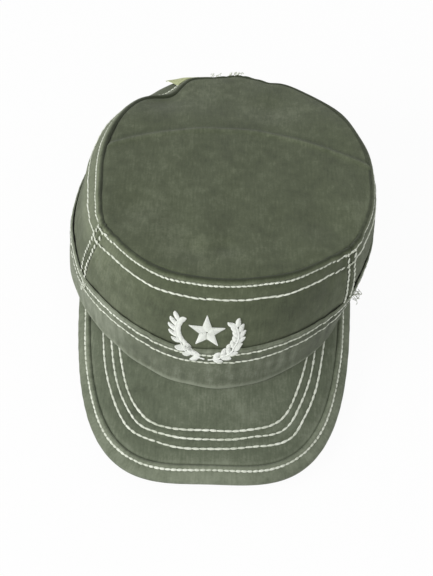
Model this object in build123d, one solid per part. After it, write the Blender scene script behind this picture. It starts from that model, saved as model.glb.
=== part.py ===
"""Flat-topped cloth field cap with a stitched visor, a folded headband and a buckled strap behind.

The cap lies on a table: z = 0 is the table, the visor points to -Y and +X is the wearer's left.
The origin is on the table under the centre of the head opening. All sizes are millimetres.
"""
from build123d import *
import os
from functools import cache
from math import atan, cos, degrees, radians, sin, sqrt

os.makedirs("parts", exist_ok=True)

# ---- head opening and crown: driving sizes ----
HEAD_HALF_WIDTH = 87.0  # outside of the headband, across the ears
HEAD_HALF_LENGTH = 103.0  # outside of the headband, front to back
HEAD_END_RADIUS = 74.0  # round of the headband at front and back
UPRIGHT_HEIGHT = 36.0  # the wall stands straight up to here, then leans in
TOP_HALF_WIDTH = 75.5
TOP_HALF_LENGTH = 89.0
TOP_END_RADIUS = 70.0
TOP_LEAN = 9.4  # the soft crown has slumped this far to the wearer's left
TOP_SHIFT = 5.2  # and this far back
TOP_HEIGHT = 80.0  # the flat top over the origin
TOP_SLOPE = 0.17  # fall of the top per millimetre towards the back

# ---- cloth ----
CLOTH = 0.8  # one ply of cotton twill
FOLDED_BAND = 1.5  # two plies, pressed
TAPE = 0.6  # seam tape and interlining
SWEATBAND = 1.2  # lined inner band
PLY_GAP = 0.15  # air between sewn layers
THREAD = 0.35  # how far a row of stitches stands up
THREAD_WIDTH = 0.8

# ---- headband, seams and rows of stitches ----
BAND_HEIGHT = 29.5
BAND_ROWS = (3.8, 9.0)  # below the band's top edge
CROWN_ROWS = (3.2, 11.0)  # below the edge of the flat top
SEAM_ANGLES = (-146.3, -41.0)  # front seams, wearer's right then left, from +X
SEAM_ROW_OFFSET = 2.2
SEAM_SLIT = 0.3
SEAM_TAPE_WIDTH = 12.0
CROWN_TAPE_DEPTH = 11.5
SWEATBAND_HEIGHT = 30.0
SWEATBAND_FOOT = 2.0  # turned-out lower edge that is sewn to the wall

# ---- visor ----
VISOR_HALF_WIDTH = 78.2
VISOR_REACH = 49.6  # beyond the front of the headband
VISOR_SIDE_RADIUS = 900.0
VISOR_CORNER_RADIUS = 58.0
VISOR_FRONT_RADIUS = 150.0
VISOR_ARCH_RADIUS = 133.7
VISOR_SLOPE = 0.196  # rise per millimetre from tip to band
VISOR_END_Y = -40.0  # where its side ends are caught in the band
VISOR_BOARD = 1.8
BINDING = 0.5  # cloth folded over the visor's edge
BINDING_WIDTH = 9.0
EDGE_ROW = 6.0  # stitches on the binding, from the edge
VISOR_ROWS = (17.3, 22.2, 26.7)

# ---- rim ----
RIM_FLAT_Y = 60.0  # behind here the rim lies flat on the table

# ---- emblem and labels ----
EMBLEM_WIDTH = 42.0
EMBLEM_HEIGHT = 30.0
EMBLEM_X = -2.5
EMBLEM_OVER_BAND = 9.3  # its lower tip crosses the band's top edge by this much
EMBLEM_THICK = 0.9
BACKING_MARGIN = 4.0
LABEL_WIDTH = 18.0
LABEL_ANGLE = 118.0
SIZE_LABEL_WIDTH = 30.0
SIZE_LABEL_HEIGHT = 16.0
SIZE_LABEL_ANGLE = 140.0
LABEL_THICK = 0.4

# ---- arched opening behind, strap and buckle ----
ARCH_HALF_WIDTH = 33.0
ARCH_RISE = 26.0  # of the arched top over its straight sides
ARCH_SPRING_DROP = 8.0  # the straight sides end this far below the strap's upper edge
ARCH_BINDING = 1.2
ARCH_BINDING_PROUD = 0.8
STRAP = 1.4
STRAP_WIDTH = 20.0
STRAP_BOTTOM = 4.0
STRAP_CLEARANCE = 0.35
STRAP_FROM = -34.0  # degrees from straight back; its free end, wearer's right
STRAP_TO = 50.0  # its hidden end, wearer's left
BUCKLE_ANGLE = -10.0
BUCKLE_LENGTH = 20.0
BUCKLE_WALL = 1.2
BUCKLE_CLEARANCE = 0.5  # between the strap's edges and the buckle's walls
BUCKLE_BACK_GAP = 1.5  # behind the strap
PIN_RADIUS = 0.9
PIN_OUT = 3.0  # from the strap's middle out to the pin
PIN_ALONG = 7.5
PIN_RUNNING_GAP = 0.05
BAR_RADIUS = 1.1
BAR_ALONG = 13.2
LEVER_BOSS_RADIUS = 2.3
LEVER_LENGTH = 17.0
LEVER_THICK = 1.4
LEVER_GAP = 0.3
LOOP_THICK = 1.15
LOOP_WIDTH = 18.0
LOOP_TO = -41.0  # degrees; the loop's tail is sewn down on the band
BARTACK_WIDTH = 1.6
BARTACK_ANGLES = (LOOP_TO + 3.0, LOOP_TO + 11.0)
BARTACK_MARGIN = 1.0  # short of the loop's edges

REACH = 400.0  # larger than the cap, for cutting blocks
AHEAD = (Align.CENTER, Align.MAX, Align.CENTER)  # a block that ends at y = 0 and lies before it

# ---- sizes that follow ----
WALL_INSET = FOLDED_BAND + PLY_GAP  # outer face of the crown wall
LINING_INSET = WALL_INSET + CLOTH + PLY_GAP
STRAP_INSET = WALL_INSET + CLOTH + STRAP_CLEARANCE
SWEAT_INSET = STRAP_INSET + STRAP + STRAP_CLEARANCE
HEAD_END_CENTRE_Y = HEAD_HALF_LENGTH - HEAD_END_RADIUS
STRAP_RADIUS = HEAD_END_RADIUS - STRAP_INSET - STRAP / 2
STRAP_MIDDLE_Z = STRAP_BOTTOM + STRAP_WIDTH / 2
ARCH_HEIGHT = STRAP_BOTTOM + STRAP_WIDTH - ARCH_SPRING_DROP + ARCH_RISE
VISOR_PITCH = atan(VISOR_SLOPE)
COVER_UNDER = CLOTH + PLY_GAP
BOARD_UNDER = COVER_UNDER + VISOR_BOARD + PLY_GAP
VISOR_THICK = BOARD_UNDER + CLOTH
VISOR_TIP_Y = -HEAD_HALF_LENGTH - VISOR_REACH
TOP_PLANE = Plane(origin=(TOP_LEAN, TOP_SHIFT, TOP_HEIGHT - TOP_SLOPE * TOP_SHIFT),
                  x_dir=(1, 0, 0), z_dir=(0, TOP_SLOPE, 1))


def arc(centre, radius, start, end):
    """Arc of a circle between two points on it, the short way round."""
    middle = Vector((start[0] + end[0]) / 2 - centre[0], (start[1] + end[1]) / 2 - centre[1])
    middle = middle.normalized() * radius
    return ThreePointArc(start, (centre[0] + middle.X, centre[1] + middle.Y), end)


def oval(half_width, half_length, end_radius):
    """Face of an oval of four tangent arcs, its long way on Y."""
    drop = half_length - end_radius
    side_radius = (half_width**2 + drop**2 - end_radius**2) / (2 * (half_width - end_radius))
    side_x = side_radius - half_width
    share = end_radius / (side_radius - end_radius)
    x, y = side_x * share, drop * (1 + share)
    edges = [
        arc((-side_x, 0), side_radius, (x, -y), (x, y)),
        arc((0, drop), end_radius, (x, y), (-x, y)),
        arc((side_x, 0), side_radius, (-x, y), (-x, -y)),
        arc((0, -drop), end_radius, (-x, -y), (x, -y)),
    ]
    return make_face(edges)


@cache
def cap_block(inset):
    """Solid filled cap whose wall is drawn in by inset from the headband's outside."""
    base = oval(HEAD_HALF_WIDTH - inset, HEAD_HALF_LENGTH - inset, HEAD_END_RADIUS - inset)
    top = oval(TOP_HALF_WIDTH - inset, TOP_HALF_LENGTH - inset, TOP_END_RADIUS - inset)
    upright = extrude(base, amount=UPRIGHT_HEIGHT)
    leaning = loft([Pos(Z=UPRIGHT_HEIGHT) * base, TOP_PLANE * top], ruled=True)
    return upright + leaning


def wall(outer_inset, thickness):
    """Ring of the wall between two insets."""
    return cap_block(outer_inset) - cap_block(outer_inset + thickness)


def crown_slab(depth_from, depth_to):
    """Everything between two depths below the flat top, square to it."""
    block = Box(REACH, REACH, depth_to - depth_from, align=(Align.CENTER, Align.CENTER, Align.MAX))
    return TOP_PLANE * Pos(Z=-depth_from) * block


def radial_bar(angle, width, height=REACH, offset=0.0):
    """Upright bar from the middle of the cap outwards; angle is from +X."""
    block = Box(REACH / 2, width, height, align=(Align.MIN, Align.CENTER, Align.CENTER))
    return Rot(Z=angle) * Pos(Y=offset) * block


def visor_outline(inset):
    """Plan of the visor as a face, drawn in by inset, square-cut at its side ends."""
    side_c = (VISOR_HALF_WIDTH - VISOR_SIDE_RADIUS, 0.0)
    front_c = (0.0, VISOR_TIP_Y + VISOR_FRONT_RADIUS)
    from_side = VISOR_SIDE_RADIUS - VISOR_CORNER_RADIUS
    from_front = VISOR_FRONT_RADIUS - VISOR_CORNER_RADIUS
    gap = Vector(front_c) - Vector(side_c)
    along = (gap.length**2 + from_side**2 - from_front**2) / (2 * gap.length)
    across = sqrt(from_side**2 - along**2)
    unit = gap.normalized()
    corner_c = (side_c[0] + unit.X * along + unit.Y * across,
                side_c[1] + unit.Y * along - unit.X * across)
    side_r, corner_r = VISOR_SIDE_RADIUS - inset, VISOR_CORNER_RADIUS - inset
    front_r = VISOR_FRONT_RADIUS - inset
    back_x = side_c[0] + sqrt(side_r**2 - VISOR_END_Y**2)
    turn_in = Vector(corner_c[0] - side_c[0], corner_c[1] - side_c[1]).normalized() * corner_r
    turn_out = Vector(corner_c[0] - front_c[0], corner_c[1] - front_c[1]).normalized() * corner_r
    first = (corner_c[0] + turn_in.X, corner_c[1] + turn_in.Y)
    second = (corner_c[0] + turn_out.X, corner_c[1] + turn_out.Y)
    left = [
        arc(side_c, side_r, (back_x, VISOR_END_Y), first),
        arc(corner_c, corner_r, first, second),
    ]
    right = [mirror(edge, about=Plane.YZ) for edge in left]
    front = arc(front_c, front_r, second, (-second[0], second[1]))
    back = Line((back_x, VISOR_END_Y), (-back_x, VISOR_END_Y))
    return make_face([*left, *right, front, back])


def arch_drop(x, y):
    """How far the visor's top is below its height at the middle of the headband's front."""
    side = (VISOR_ARCH_RADIUS - sqrt(VISOR_ARCH_RADIUS**2 - x * x)) / cos(VISOR_PITCH)
    return side - VISOR_SLOPE * (y + HEAD_HALF_LENGTH)


def lowest_edge_drop(inset):
    """The largest drop round the visor's edge, where its underside meets the table."""
    outline = visor_outline(inset).face().outer_wire()
    steps = 120
    return max(arch_drop(p.X, p.Y) for p in (outline @ (i / steps) for i in range(steps)))


UNDER_DEPTH = VISOR_THICK + PLY_GAP + BINDING
UNDER_LEAN = 1.12  # the underside is square to a sloping edge, so it reaches that much lower
VISOR_RISE = lowest_edge_drop(0.0) + UNDER_DEPTH * UNDER_LEAN


def arch_cylinder(lift):
    """Cylinder whose top is the visor's top surface, raised square to it by lift."""
    centre_z = VISOR_RISE - VISOR_ARCH_RADIUS / cos(VISOR_PITCH)
    axis = Plane(origin=(0, -HEAD_HALF_LENGTH, centre_z), x_dir=(1, 0, 0),
                 z_dir=(0, cos(VISOR_PITCH), sin(VISOR_PITCH)))
    return axis * Cylinder(VISOR_ARCH_RADIUS + lift, REACH)


def visor_column(inset):
    """Upright block with the visor's outline, drawn in by inset, from below the table upwards."""
    return Pos(Z=-VISOR_ARCH_RADIUS) * extrude(visor_outline(inset), amount=REACH)


def visor_sheet(lift_top, lift_bottom, inset):
    """Curved sheet of the visor between two lifts, its outline drawn in by inset."""
    return (arch_cylinder(lift_top) - arch_cylinder(lift_bottom)) & visor_column(inset)


RIM_AT_VISOR = VISOR_RISE - arch_drop(VISOR_HALF_WIDTH, VISOR_END_Y)


def under_rim(lift, raise_by):
    """Everything under the rim line; lift clears the visor, raise_by moves the line straight up."""
    profile = Plane.YZ * make_face(Polyline(
        (VISOR_END_Y, -REACH), (VISOR_END_Y, RIM_AT_VISOR + raise_by), (RIM_FLAT_Y, raise_by),
        (REACH, raise_by), (REACH, -REACH), close=True))
    behind = extrude(profile, amount=REACH, both=True)
    front_block = Box(REACH, REACH, REACH, align=AHEAD)
    ahead = Pos(Z=raise_by) * arch_cylinder(lift) & Pos(Y=VISOR_END_Y) * front_block
    return behind + ahead


def arch_column(inset):
    """Block through the back wall with the opening's arched outline, drawn in by inset."""
    side, crown = ARCH_HALF_WIDTH - inset, ARCH_HEIGHT - inset
    radius = (ARCH_HALF_WIDTH**2 + ARCH_RISE**2) / (2 * ARCH_RISE)
    centre_z = ARCH_HEIGHT - radius
    spring = centre_z + sqrt((radius - inset) ** 2 - side**2)
    outline = [
        Line((-side, -REACH), (side, -REACH)),
        Line((side, -REACH), (side, spring)),
        ThreePointArc((side, spring), (0, crown), (-side, spring)),
        Line((-side, spring), (-side, -REACH)),
    ]
    return extrude(Plane.XZ * make_face(outline), amount=-REACH)


def back_ring(radius, thickness, from_angle, to_angle, bottom, height):
    """Upright curved strip round the back of the head; angles from straight back to +X."""
    ring = Cylinder(radius + thickness / 2, height) - Cylinder(radius - thickness / 2, height)
    half_span = radians(to_angle - from_angle) / 2
    far = 2 * radius / cos(half_span)
    wedge = extrude(make_face(Polyline(
        (0, 0), (far * sin(-half_span), far * cos(half_span)), (0, 2 * far),
        (far * sin(half_span), far * cos(half_span)), close=True)), amount=height, both=True)
    strip = ring & Rot(Z=-(from_angle + to_angle) / 2) * wedge
    return Pos(0, HEAD_END_CENTRE_Y, bottom + height / 2) * strip


def crown_fabric():
    """Flat top, three wall panels and the tapes and interlining behind their seams."""
    parts = {"crown_top": cap_block(WALL_INSET) & crown_slab(0, CLOTH)}
    cloth = wall(WALL_INSET, CLOTH) - crown_slab(-REACH / 2, CLOTH + PLY_GAP)
    cloth = cloth - RIM_CUT - arch_column(0)
    for angle in (*SEAM_ANGLES, 90.0):
        cloth = cloth - radial_bar(angle, SEAM_SLIT)
    panels = cloth.solids()
    parts["front_panel"] = min(panels, key=lambda s: s.center().Y)
    parts["side_panel_left"] = max(panels, key=lambda s: s.center().X)
    parts["side_panel_right"] = min(panels, key=lambda s: s.center().X)

    lining = wall(LINING_INSET, TAPE) - RIM_CUT - arch_column(-PLY_GAP)
    crown_tape_from = CLOTH + PLY_GAP
    parts["crown_seam_tape"] = lining & crown_slab(crown_tape_from, crown_tape_from + CROWN_TAPE_DEPTH)
    lining = lining - crown_slab(-REACH / 2, crown_tape_from + CROWN_TAPE_DEPTH + PLY_GAP)
    right, left = SEAM_ANGLES
    parts["front_seam_tape_right"] = lining & radial_bar(right, SEAM_TAPE_WIDTH)
    parts["front_seam_tape_left"] = lining & radial_bar(left, SEAM_TAPE_WIDTH)
    parts["back_seam_tape"] = lining & radial_bar(90.0, SEAM_TAPE_WIDTH)
    front_edges = [Vector(REACH * cos(radians(a)), REACH * sin(radians(a))) for a in SEAM_ANGLES]
    front_wedge = extrude(make_face(Polyline(
        (0, 0), (front_edges[0].X, front_edges[0].Y), (front_edges[1].X, front_edges[1].Y),
        close=True)), amount=REACH, both=True)
    interlining = lining & front_wedge
    for angle in SEAM_ANGLES:
        interlining = interlining - radial_bar(angle, SEAM_TAPE_WIDTH + 2 * PLY_GAP)
    parts["front_interlining"] = interlining
    return parts


def bands():
    """Folded outer headband and inner sweatband, both open at the arch."""
    headband = (wall(0, FOLDED_BAND) & under_rim(VISOR_CLEAR, BAND_HEIGHT)) - RIM_CUT
    sweat_body = wall(SWEAT_INSET, SWEATBAND) & under_rim(VISOR_CLEAR, SWEATBAND_HEIGHT)
    foot = wall(LINING_INSET, SWEAT_INSET + SWEATBAND - LINING_INSET)
    foot = foot & under_rim(-UNDER_DEPTH, SWEATBAND_FOOT)
    foot = foot - Pos(Y=VISOR_END_Y) * Box(REACH, REACH, REACH, align=AHEAD)
    sweat_cut = under_rim(-UNDER_DEPTH, 0)
    lining_left = wall(LINING_INSET - PLY_GAP, TAPE + 2 * PLY_GAP)
    for angle in SEAM_ANGLES:
        foot = foot - (lining_left & radial_bar(angle, SEAM_TAPE_WIDTH + 2 * PLY_GAP))
    sweatband = (sweat_body + foot) - sweat_cut - arch_column(-PLY_GAP)
    return {"headband": headband - arch_column(0), "sweatband": sweatband}


def visor():
    """Two cloth covers over a stiff board, bound round the outer edge."""
    tuck = cap_block(SWEAT_INSET - PLY_GAP)
    inner = BINDING + PLY_GAP
    top = visor_sheet(0, -CLOTH, inner)
    board = visor_sheet(-COVER_UNDER, -COVER_UNDER - VISOR_BOARD, inner)
    under = visor_sheet(-BOARD_UNDER, -VISOR_THICK, inner)
    fold = visor_sheet(PLY_GAP + BINDING, -UNDER_DEPTH, 0)
    fold = fold - visor_sheet(PLY_GAP, -VISOR_THICK - PLY_GAP, BINDING)
    fold = fold - visor_column(BINDING_WIDTH)
    pieces = {"visor_top_cover": top, "visor_board": board, "visor_under_cover": under,
              "visor_edge_binding": fold}
    return {name: piece - tuck for name, piece in pieces.items()}


def emblem_outline(margin):
    """Rounded shield-like outline of the emblem as a block through the front wall."""
    width, height = EMBLEM_WIDTH + 2 * margin, EMBLEM_HEIGHT + 2 * margin
    middle_z = EMBLEM_MIDDLE_Z
    face = Plane.XZ * Pos(EMBLEM_X, middle_z) * Ellipse(width / 2, height / 2)
    return extrude(face, amount=REACH)


def trim():
    """Emblem with its backing, a small outside label and the size label inside."""
    over_band = cap_block(-PLY_GAP) & under_rim(VISOR_CLEAR, BAND_HEIGHT + PLY_GAP)
    block = (cap_block(-PLY_GAP - EMBLEM_THICK) - cap_block(WALL_INSET - PLY_GAP)) & emblem_outline(0)
    emblem = block - over_band
    backing = wall(LINING_INSET + TAPE + PLY_GAP, LABEL_THICK) & emblem_outline(BACKING_MARGIN)
    backing = backing - under_rim(VISOR_CLEAR, SWEATBAND_HEIGHT)
    label_inset = WALL_INSET - PLY_GAP - LABEL_THICK
    row_edge = THREAD_WIDTH / 2 + PLY_GAP
    label = wall(label_inset, LABEL_THICK) & radial_bar(LABEL_ANGLE, LABEL_WIDTH)
    label = label & crown_slab(CROWN_ROWS[0] + row_edge, CROWN_ROWS[1] - row_edge)
    size_label = wall(SWEAT_INSET + SWEATBAND + PLY_GAP, LABEL_THICK)
    size_label = size_label & radial_bar(SIZE_LABEL_ANGLE, SIZE_LABEL_WIDTH)
    shelf = Pos(Z=SWEATBAND_HEIGHT / 2) * Box(REACH, REACH, SIZE_LABEL_HEIGHT)
    return {"emblem": emblem, "emblem_backing": backing, "outside_label": label,
            "size_label": size_label & shelf}


def stitching():
    """Rows of thread, each a thin raised strip on the cloth that it holds."""
    half = THREAD_WIDTH / 2
    on_wall = wall(WALL_INSET - PLY_GAP - THREAD, THREAD)
    on_band = wall(-PLY_GAP - THREAD, THREAD) - arch_column(-ARCH_BINDING)
    above_band = on_wall - under_rim(VISOR_CLEAR, BAND_HEIGHT + PLY_GAP)
    below_rows = above_band - crown_slab(-REACH / 2, CROWN_ROWS[1] + half + PLY_GAP)
    seam_rows = [below_rows & radial_bar(angle, THREAD_WIDTH, offset=side * SEAM_ROW_OFFSET)
                 for angle in SEAM_ANGLES for side in (-1, 1)]
    above_arch = below_rows - arch_column(-ARCH_BINDING)
    back_rows = [above_arch & radial_bar(90, THREAD_WIDTH, offset=side * SEAM_ROW_OFFSET)
                 for side in (-1, 1)]
    emblem_gap = emblem_outline(PLY_GAP)
    band_rows = []
    for depth in BAND_ROWS:
        upper = under_rim(VISOR_CLEAR, BAND_HEIGHT - depth + half)
        lower = under_rim(VISOR_CLEAR, BAND_HEIGHT - depth - half)
        band_rows.append((on_band & upper) - lower - emblem_gap)
    beyond_band = cap_block(-PLY_GAP)
    flat = {"crown_stitching": [on_wall & crown_slab(d - half, d + half) for d in CROWN_ROWS],
            "front_seam_stitching": seam_rows, "back_seam_stitching": back_rows,
            "headband_stitching": band_rows}
    on_binding = 2 * PLY_GAP + BINDING
    for name, insets, lift in (("visor_edge_stitching", (EDGE_ROW,), on_binding),
                               ("visor_stitching", VISOR_ROWS, PLY_GAP)):
        rows = []
        for inset in insets:
            row = visor_sheet(lift + THREAD, lift, inset - half)
            rows.append(row - visor_column(inset + half) - beyond_band)
        flat[name] = rows
    return {name: [s for row in rows for s in row.solids()] for name, rows in flat.items()}


def back_closure():
    """Arch binding, sliding strap, cam buckle and the loop that holds the buckle."""
    outer = -ARCH_BINDING_PROUD
    inner = LINING_INSET + PLY_GAP
    ring = arch_column(PLY_GAP) - arch_column(PLY_GAP + ARCH_BINDING)
    rear = Box(REACH, REACH, REACH, align=(Align.CENTER, Align.MIN, Align.MIN))
    binding = wall(outer, inner - outer) & ring & rear

    strap = back_ring(STRAP_RADIUS, STRAP, STRAP_FROM, STRAP_TO, STRAP_BOTTOM, STRAP_WIDTH)

    turn = radians(BUCKLE_ANGLE)
    seat_y = HEAD_END_CENTRE_Y + STRAP_RADIUS * cos(turn)
    seat = Plane(origin=(STRAP_RADIUS * sin(turn), seat_y, STRAP_MIDDLE_Z),
                 x_dir=(cos(turn), -sin(turn), 0), z_dir=(0, 0, 1))
    inside_z = STRAP_WIDTH / 2 + BUCKLE_CLEARANCE
    back_face = -STRAP / 2 - BUCKLE_BACK_GAP
    wall_out = PIN_OUT + PIN_RADIUS + BUCKLE_WALL
    low = (Align.CENTER, Align.MIN, Align.CENTER)
    plate = Box(BUCKLE_LENGTH, BUCKLE_WALL, 2 * (inside_z + BUCKLE_WALL), align=low)
    frame = Pos(Y=back_face - BUCKLE_WALL) * plate
    arm_length = BAR_ALONG + BAR_RADIUS - BUCKLE_LENGTH / 2
    for side in (-1, 1):
        middle_z = side * (inside_z + BUCKLE_WALL / 2)
        cheek = Box(BUCKLE_LENGTH, wall_out - back_face + BUCKLE_WALL, BUCKLE_WALL, align=low)
        arm = Box(arm_length, 2 * BAR_RADIUS, BUCKLE_WALL, align=(Align.MAX, Align.CENTER, Align.CENTER))
        frame = frame + Pos(0, back_face - BUCKLE_WALL, middle_z) * cheek
        frame = frame + Pos(-BUCKLE_LENGTH / 2, PIN_OUT, middle_z) * arm
    bar_place = Pos(-BAR_ALONG, PIN_OUT)
    frame = frame + bar_place * Cylinder(BAR_RADIUS, 2 * inside_z)
    pin_place = Pos(PIN_ALONG, PIN_OUT)
    bore = pin_place * Cylinder(PIN_RADIUS + PIN_RUNNING_GAP, REACH)
    pin = pin_place * Cylinder(PIN_RADIUS, 2 * (inside_z + BUCKLE_WALL))

    lever_height = 2 * (inside_z - LEVER_GAP)
    handle = Pos(0, LEVER_BOSS_RADIUS - LEVER_THICK) * Box(
        LEVER_LENGTH, LEVER_THICK, lever_height, align=(Align.MAX, Align.MIN, Align.CENTER))
    grip = Pos(-LEVER_LENGTH, LEVER_BOSS_RADIUS - LEVER_THICK) * Box(
        LEVER_THICK, 2 * LEVER_THICK, lever_height, align=(Align.MIN, Align.MIN, Align.CENTER))
    lever = pin_place * (Cylinder(LEVER_BOSS_RADIUS, lever_height) + handle + grip)

    loop_inner = BAR_RADIUS + PLY_GAP
    loop_from = BUCKLE_ANGLE - degrees(atan(BAR_ALONG / (STRAP_RADIUS + PIN_OUT)))
    tail_radius = HEAD_END_RADIUS + ARCH_BINDING_PROUD + STRAP_CLEARANCE + LOOP_THICK / 2
    loop_bottom = STRAP_MIDDLE_Z - LOOP_WIDTH / 2
    tail = back_ring(tail_radius, LOOP_THICK, LOOP_TO, loop_from, loop_bottom, LOOP_WIDTH)
    eye = seat * bar_place * Cylinder(loop_inner + LOOP_THICK, LOOP_WIDTH)
    loop = tail + eye - seat * bar_place * Cylinder(loop_inner, LOOP_WIDTH)

    tacks = []
    tack_radius = tail_radius + LOOP_THICK / 2 + PLY_GAP + THREAD / 2
    tack_span = degrees(BARTACK_WIDTH / tack_radius)
    for angle in BARTACK_ANGLES:
        tacks.append(back_ring(tack_radius, THREAD, angle, angle + tack_span,
                               loop_bottom + BARTACK_MARGIN, LOOP_WIDTH - 2 * BARTACK_MARGIN))
    return {"arch_binding": binding, "adjuster_strap": strap, "buckle_frame": seat * (frame - bore),
            "buckle_pin": seat * pin, "buckle_lever": seat * (lever - bore), "buckle_loop": loop,
            "loop_bartacks": tacks}, seat * Pos(PIN_ALONG, PIN_OUT)


VISOR_CLEAR = 2 * PLY_GAP + BINDING
RIM_CUT = under_rim(VISOR_CLEAR, 0)
BAND_TOP_Z = VISOR_RISE + VISOR_CLEAR + BAND_HEIGHT
EMBLEM_MIDDLE_Z = BAND_TOP_Z - EMBLEM_OVER_BAND + EMBLEM_HEIGHT / 2

closure, pin_axis = back_closure()
cap = {**crown_fabric(), **bands(), **visor(), **trim(), **stitching(), **closure}

for name, shape in cap.items():
    solids = shape if isinstance(shape, list) else list(shape.solids())
    body = solids[0] if len(solids) == 1 else Compound(children=solids)
    body.label = name
    export_step(body, f"parts/{name}.step")

print("visor rise", round(VISOR_RISE, 2), "band top", round(BAND_TOP_Z, 2), "rim", round(RIM_AT_VISOR, 2))
print("lever pin at", tuple(round(v, 3) for v in pin_axis.position), "strap radius", round(STRAP_RADIUS, 3))
print("strap axis at y", round(HEAD_END_CENTRE_Y, 3), "sweatband inset", round(SWEAT_INSET + SWEATBAND, 2))
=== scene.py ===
"""Cloth field cap: sewn crown, folded headband, stitched visor and a buckled strap behind.

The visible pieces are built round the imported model, in its frame and in metres.
Shape functions work in millimetres, and lengths become metres as a mesh is made.
"""

import logging
from dataclasses import dataclass, field
from enum import Enum
from math import cos, degrees, pi, radians, sin, sqrt, tau
from typing import Callable, Iterable, Optional, Sequence, Union

import bmesh
import bpy
import numpy as np
from mathutils import Matrix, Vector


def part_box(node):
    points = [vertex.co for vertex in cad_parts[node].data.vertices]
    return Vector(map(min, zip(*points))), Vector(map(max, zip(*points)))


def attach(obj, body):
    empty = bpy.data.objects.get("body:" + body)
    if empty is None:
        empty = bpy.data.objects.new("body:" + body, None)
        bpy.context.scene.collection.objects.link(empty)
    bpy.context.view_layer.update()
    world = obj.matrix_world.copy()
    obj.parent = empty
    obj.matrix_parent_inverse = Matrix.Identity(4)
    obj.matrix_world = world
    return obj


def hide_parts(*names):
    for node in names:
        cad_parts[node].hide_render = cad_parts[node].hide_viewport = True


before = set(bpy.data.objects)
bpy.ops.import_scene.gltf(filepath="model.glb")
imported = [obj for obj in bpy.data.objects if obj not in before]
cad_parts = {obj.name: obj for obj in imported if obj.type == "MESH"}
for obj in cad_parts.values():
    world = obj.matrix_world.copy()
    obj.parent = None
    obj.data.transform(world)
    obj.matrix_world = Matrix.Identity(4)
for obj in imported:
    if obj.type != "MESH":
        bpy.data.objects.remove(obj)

LOG = logging.getLogger("field_cap")
MM = 0.001
CLOTH_MAP = "Cloth"
# value in each point's colour: pale where rubbed, with painted light on the key lamp's side and
# painted shade in grooves, creases and tucks
WEAR_AND_PAINTED_LIGHT = "wear"
LIFT = "lift"
Array = np.ndarray
Span = tuple[float, float]
Colour = tuple[float, float, float]

# thickness of each ply, and how far in from the headband's outside some outer faces lie
BAND_PLY, CLOTH, TAPE, SWEAT_PLY = 1.5, 0.8, 0.6, 1.2
WALL_INSET, LINING_INSET, SWEAT_INSET = 1.65, 2.6, 4.55
# millimetres round the cap for each radian, on the wall and at its back
ARC, BACK_ARC = 90.0, 93.0


class Body(Enum):
    """The bodies that this script's own pieces ride on."""

    CAP = "cap"
    STRAP = "strap"


class Side(Enum):
    """Which half of the wall a place given by width and height is on."""

    FRONT = -pi / 2
    BACK = pi / 2


def smooth(x: Array, low: float, high: float) -> Array:
    """Smooth step from 0 at low to 1 at high."""
    t = np.clip((np.asarray(x, float) - low) / (high - low), 0.0, 1.0)
    return t * t * (3 - 2 * t)


def bell(x: Array, centre: float, width: float) -> Array:
    """Bell curve of height 1."""
    return np.exp(-(((np.asarray(x, float) - centre) / width) ** 2))


def unit(v: Array) -> Array:
    """Vectors along the last axis, scaled to length 1."""
    return v / np.maximum(np.linalg.norm(v, axis=-1, keepdims=True), 1e-9)


def away(theta: Array, centre: float) -> Array:
    """Angle from a centre, between minus and plus half a turn."""
    return np.angle(np.exp(1j * (theta - centre)))


def both_faces(wear: Array) -> Array:
    """Rubbed paleness, painted light and painted shade of a cloth's outer face, repeated for its
    inner face.
    """
    return np.concatenate([wear, wear[:, ::-1]], 1)


@dataclass(frozen=True)
class Crumple:
    """Soft waves in cloth, the same on every run and closed round the cap."""

    seed: int
    waves: int
    turns: tuple[int, int]
    climb: float
    height: float

    def at(self, theta: Array, v: Array) -> Array:
        """Height of the waves.

        Args:
            theta: angle round the cap.
            v: place up the piece, in millimetres.

        Returns:
            Height in millimetres, about -height to height.
        """
        rng = np.random.RandomState(self.seed)
        total = np.zeros(np.broadcast(theta, v).shape)
        for _ in range(self.waves):
            k = rng.randint(*self.turns)
            q, phase = rng.uniform(-self.climb, self.climb), rng.uniform(0, tau)
            total += rng.uniform(0.4, 1.0) * np.cos(k * theta + q * v + phase)
        return self.height * total / sqrt(self.waves)


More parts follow.
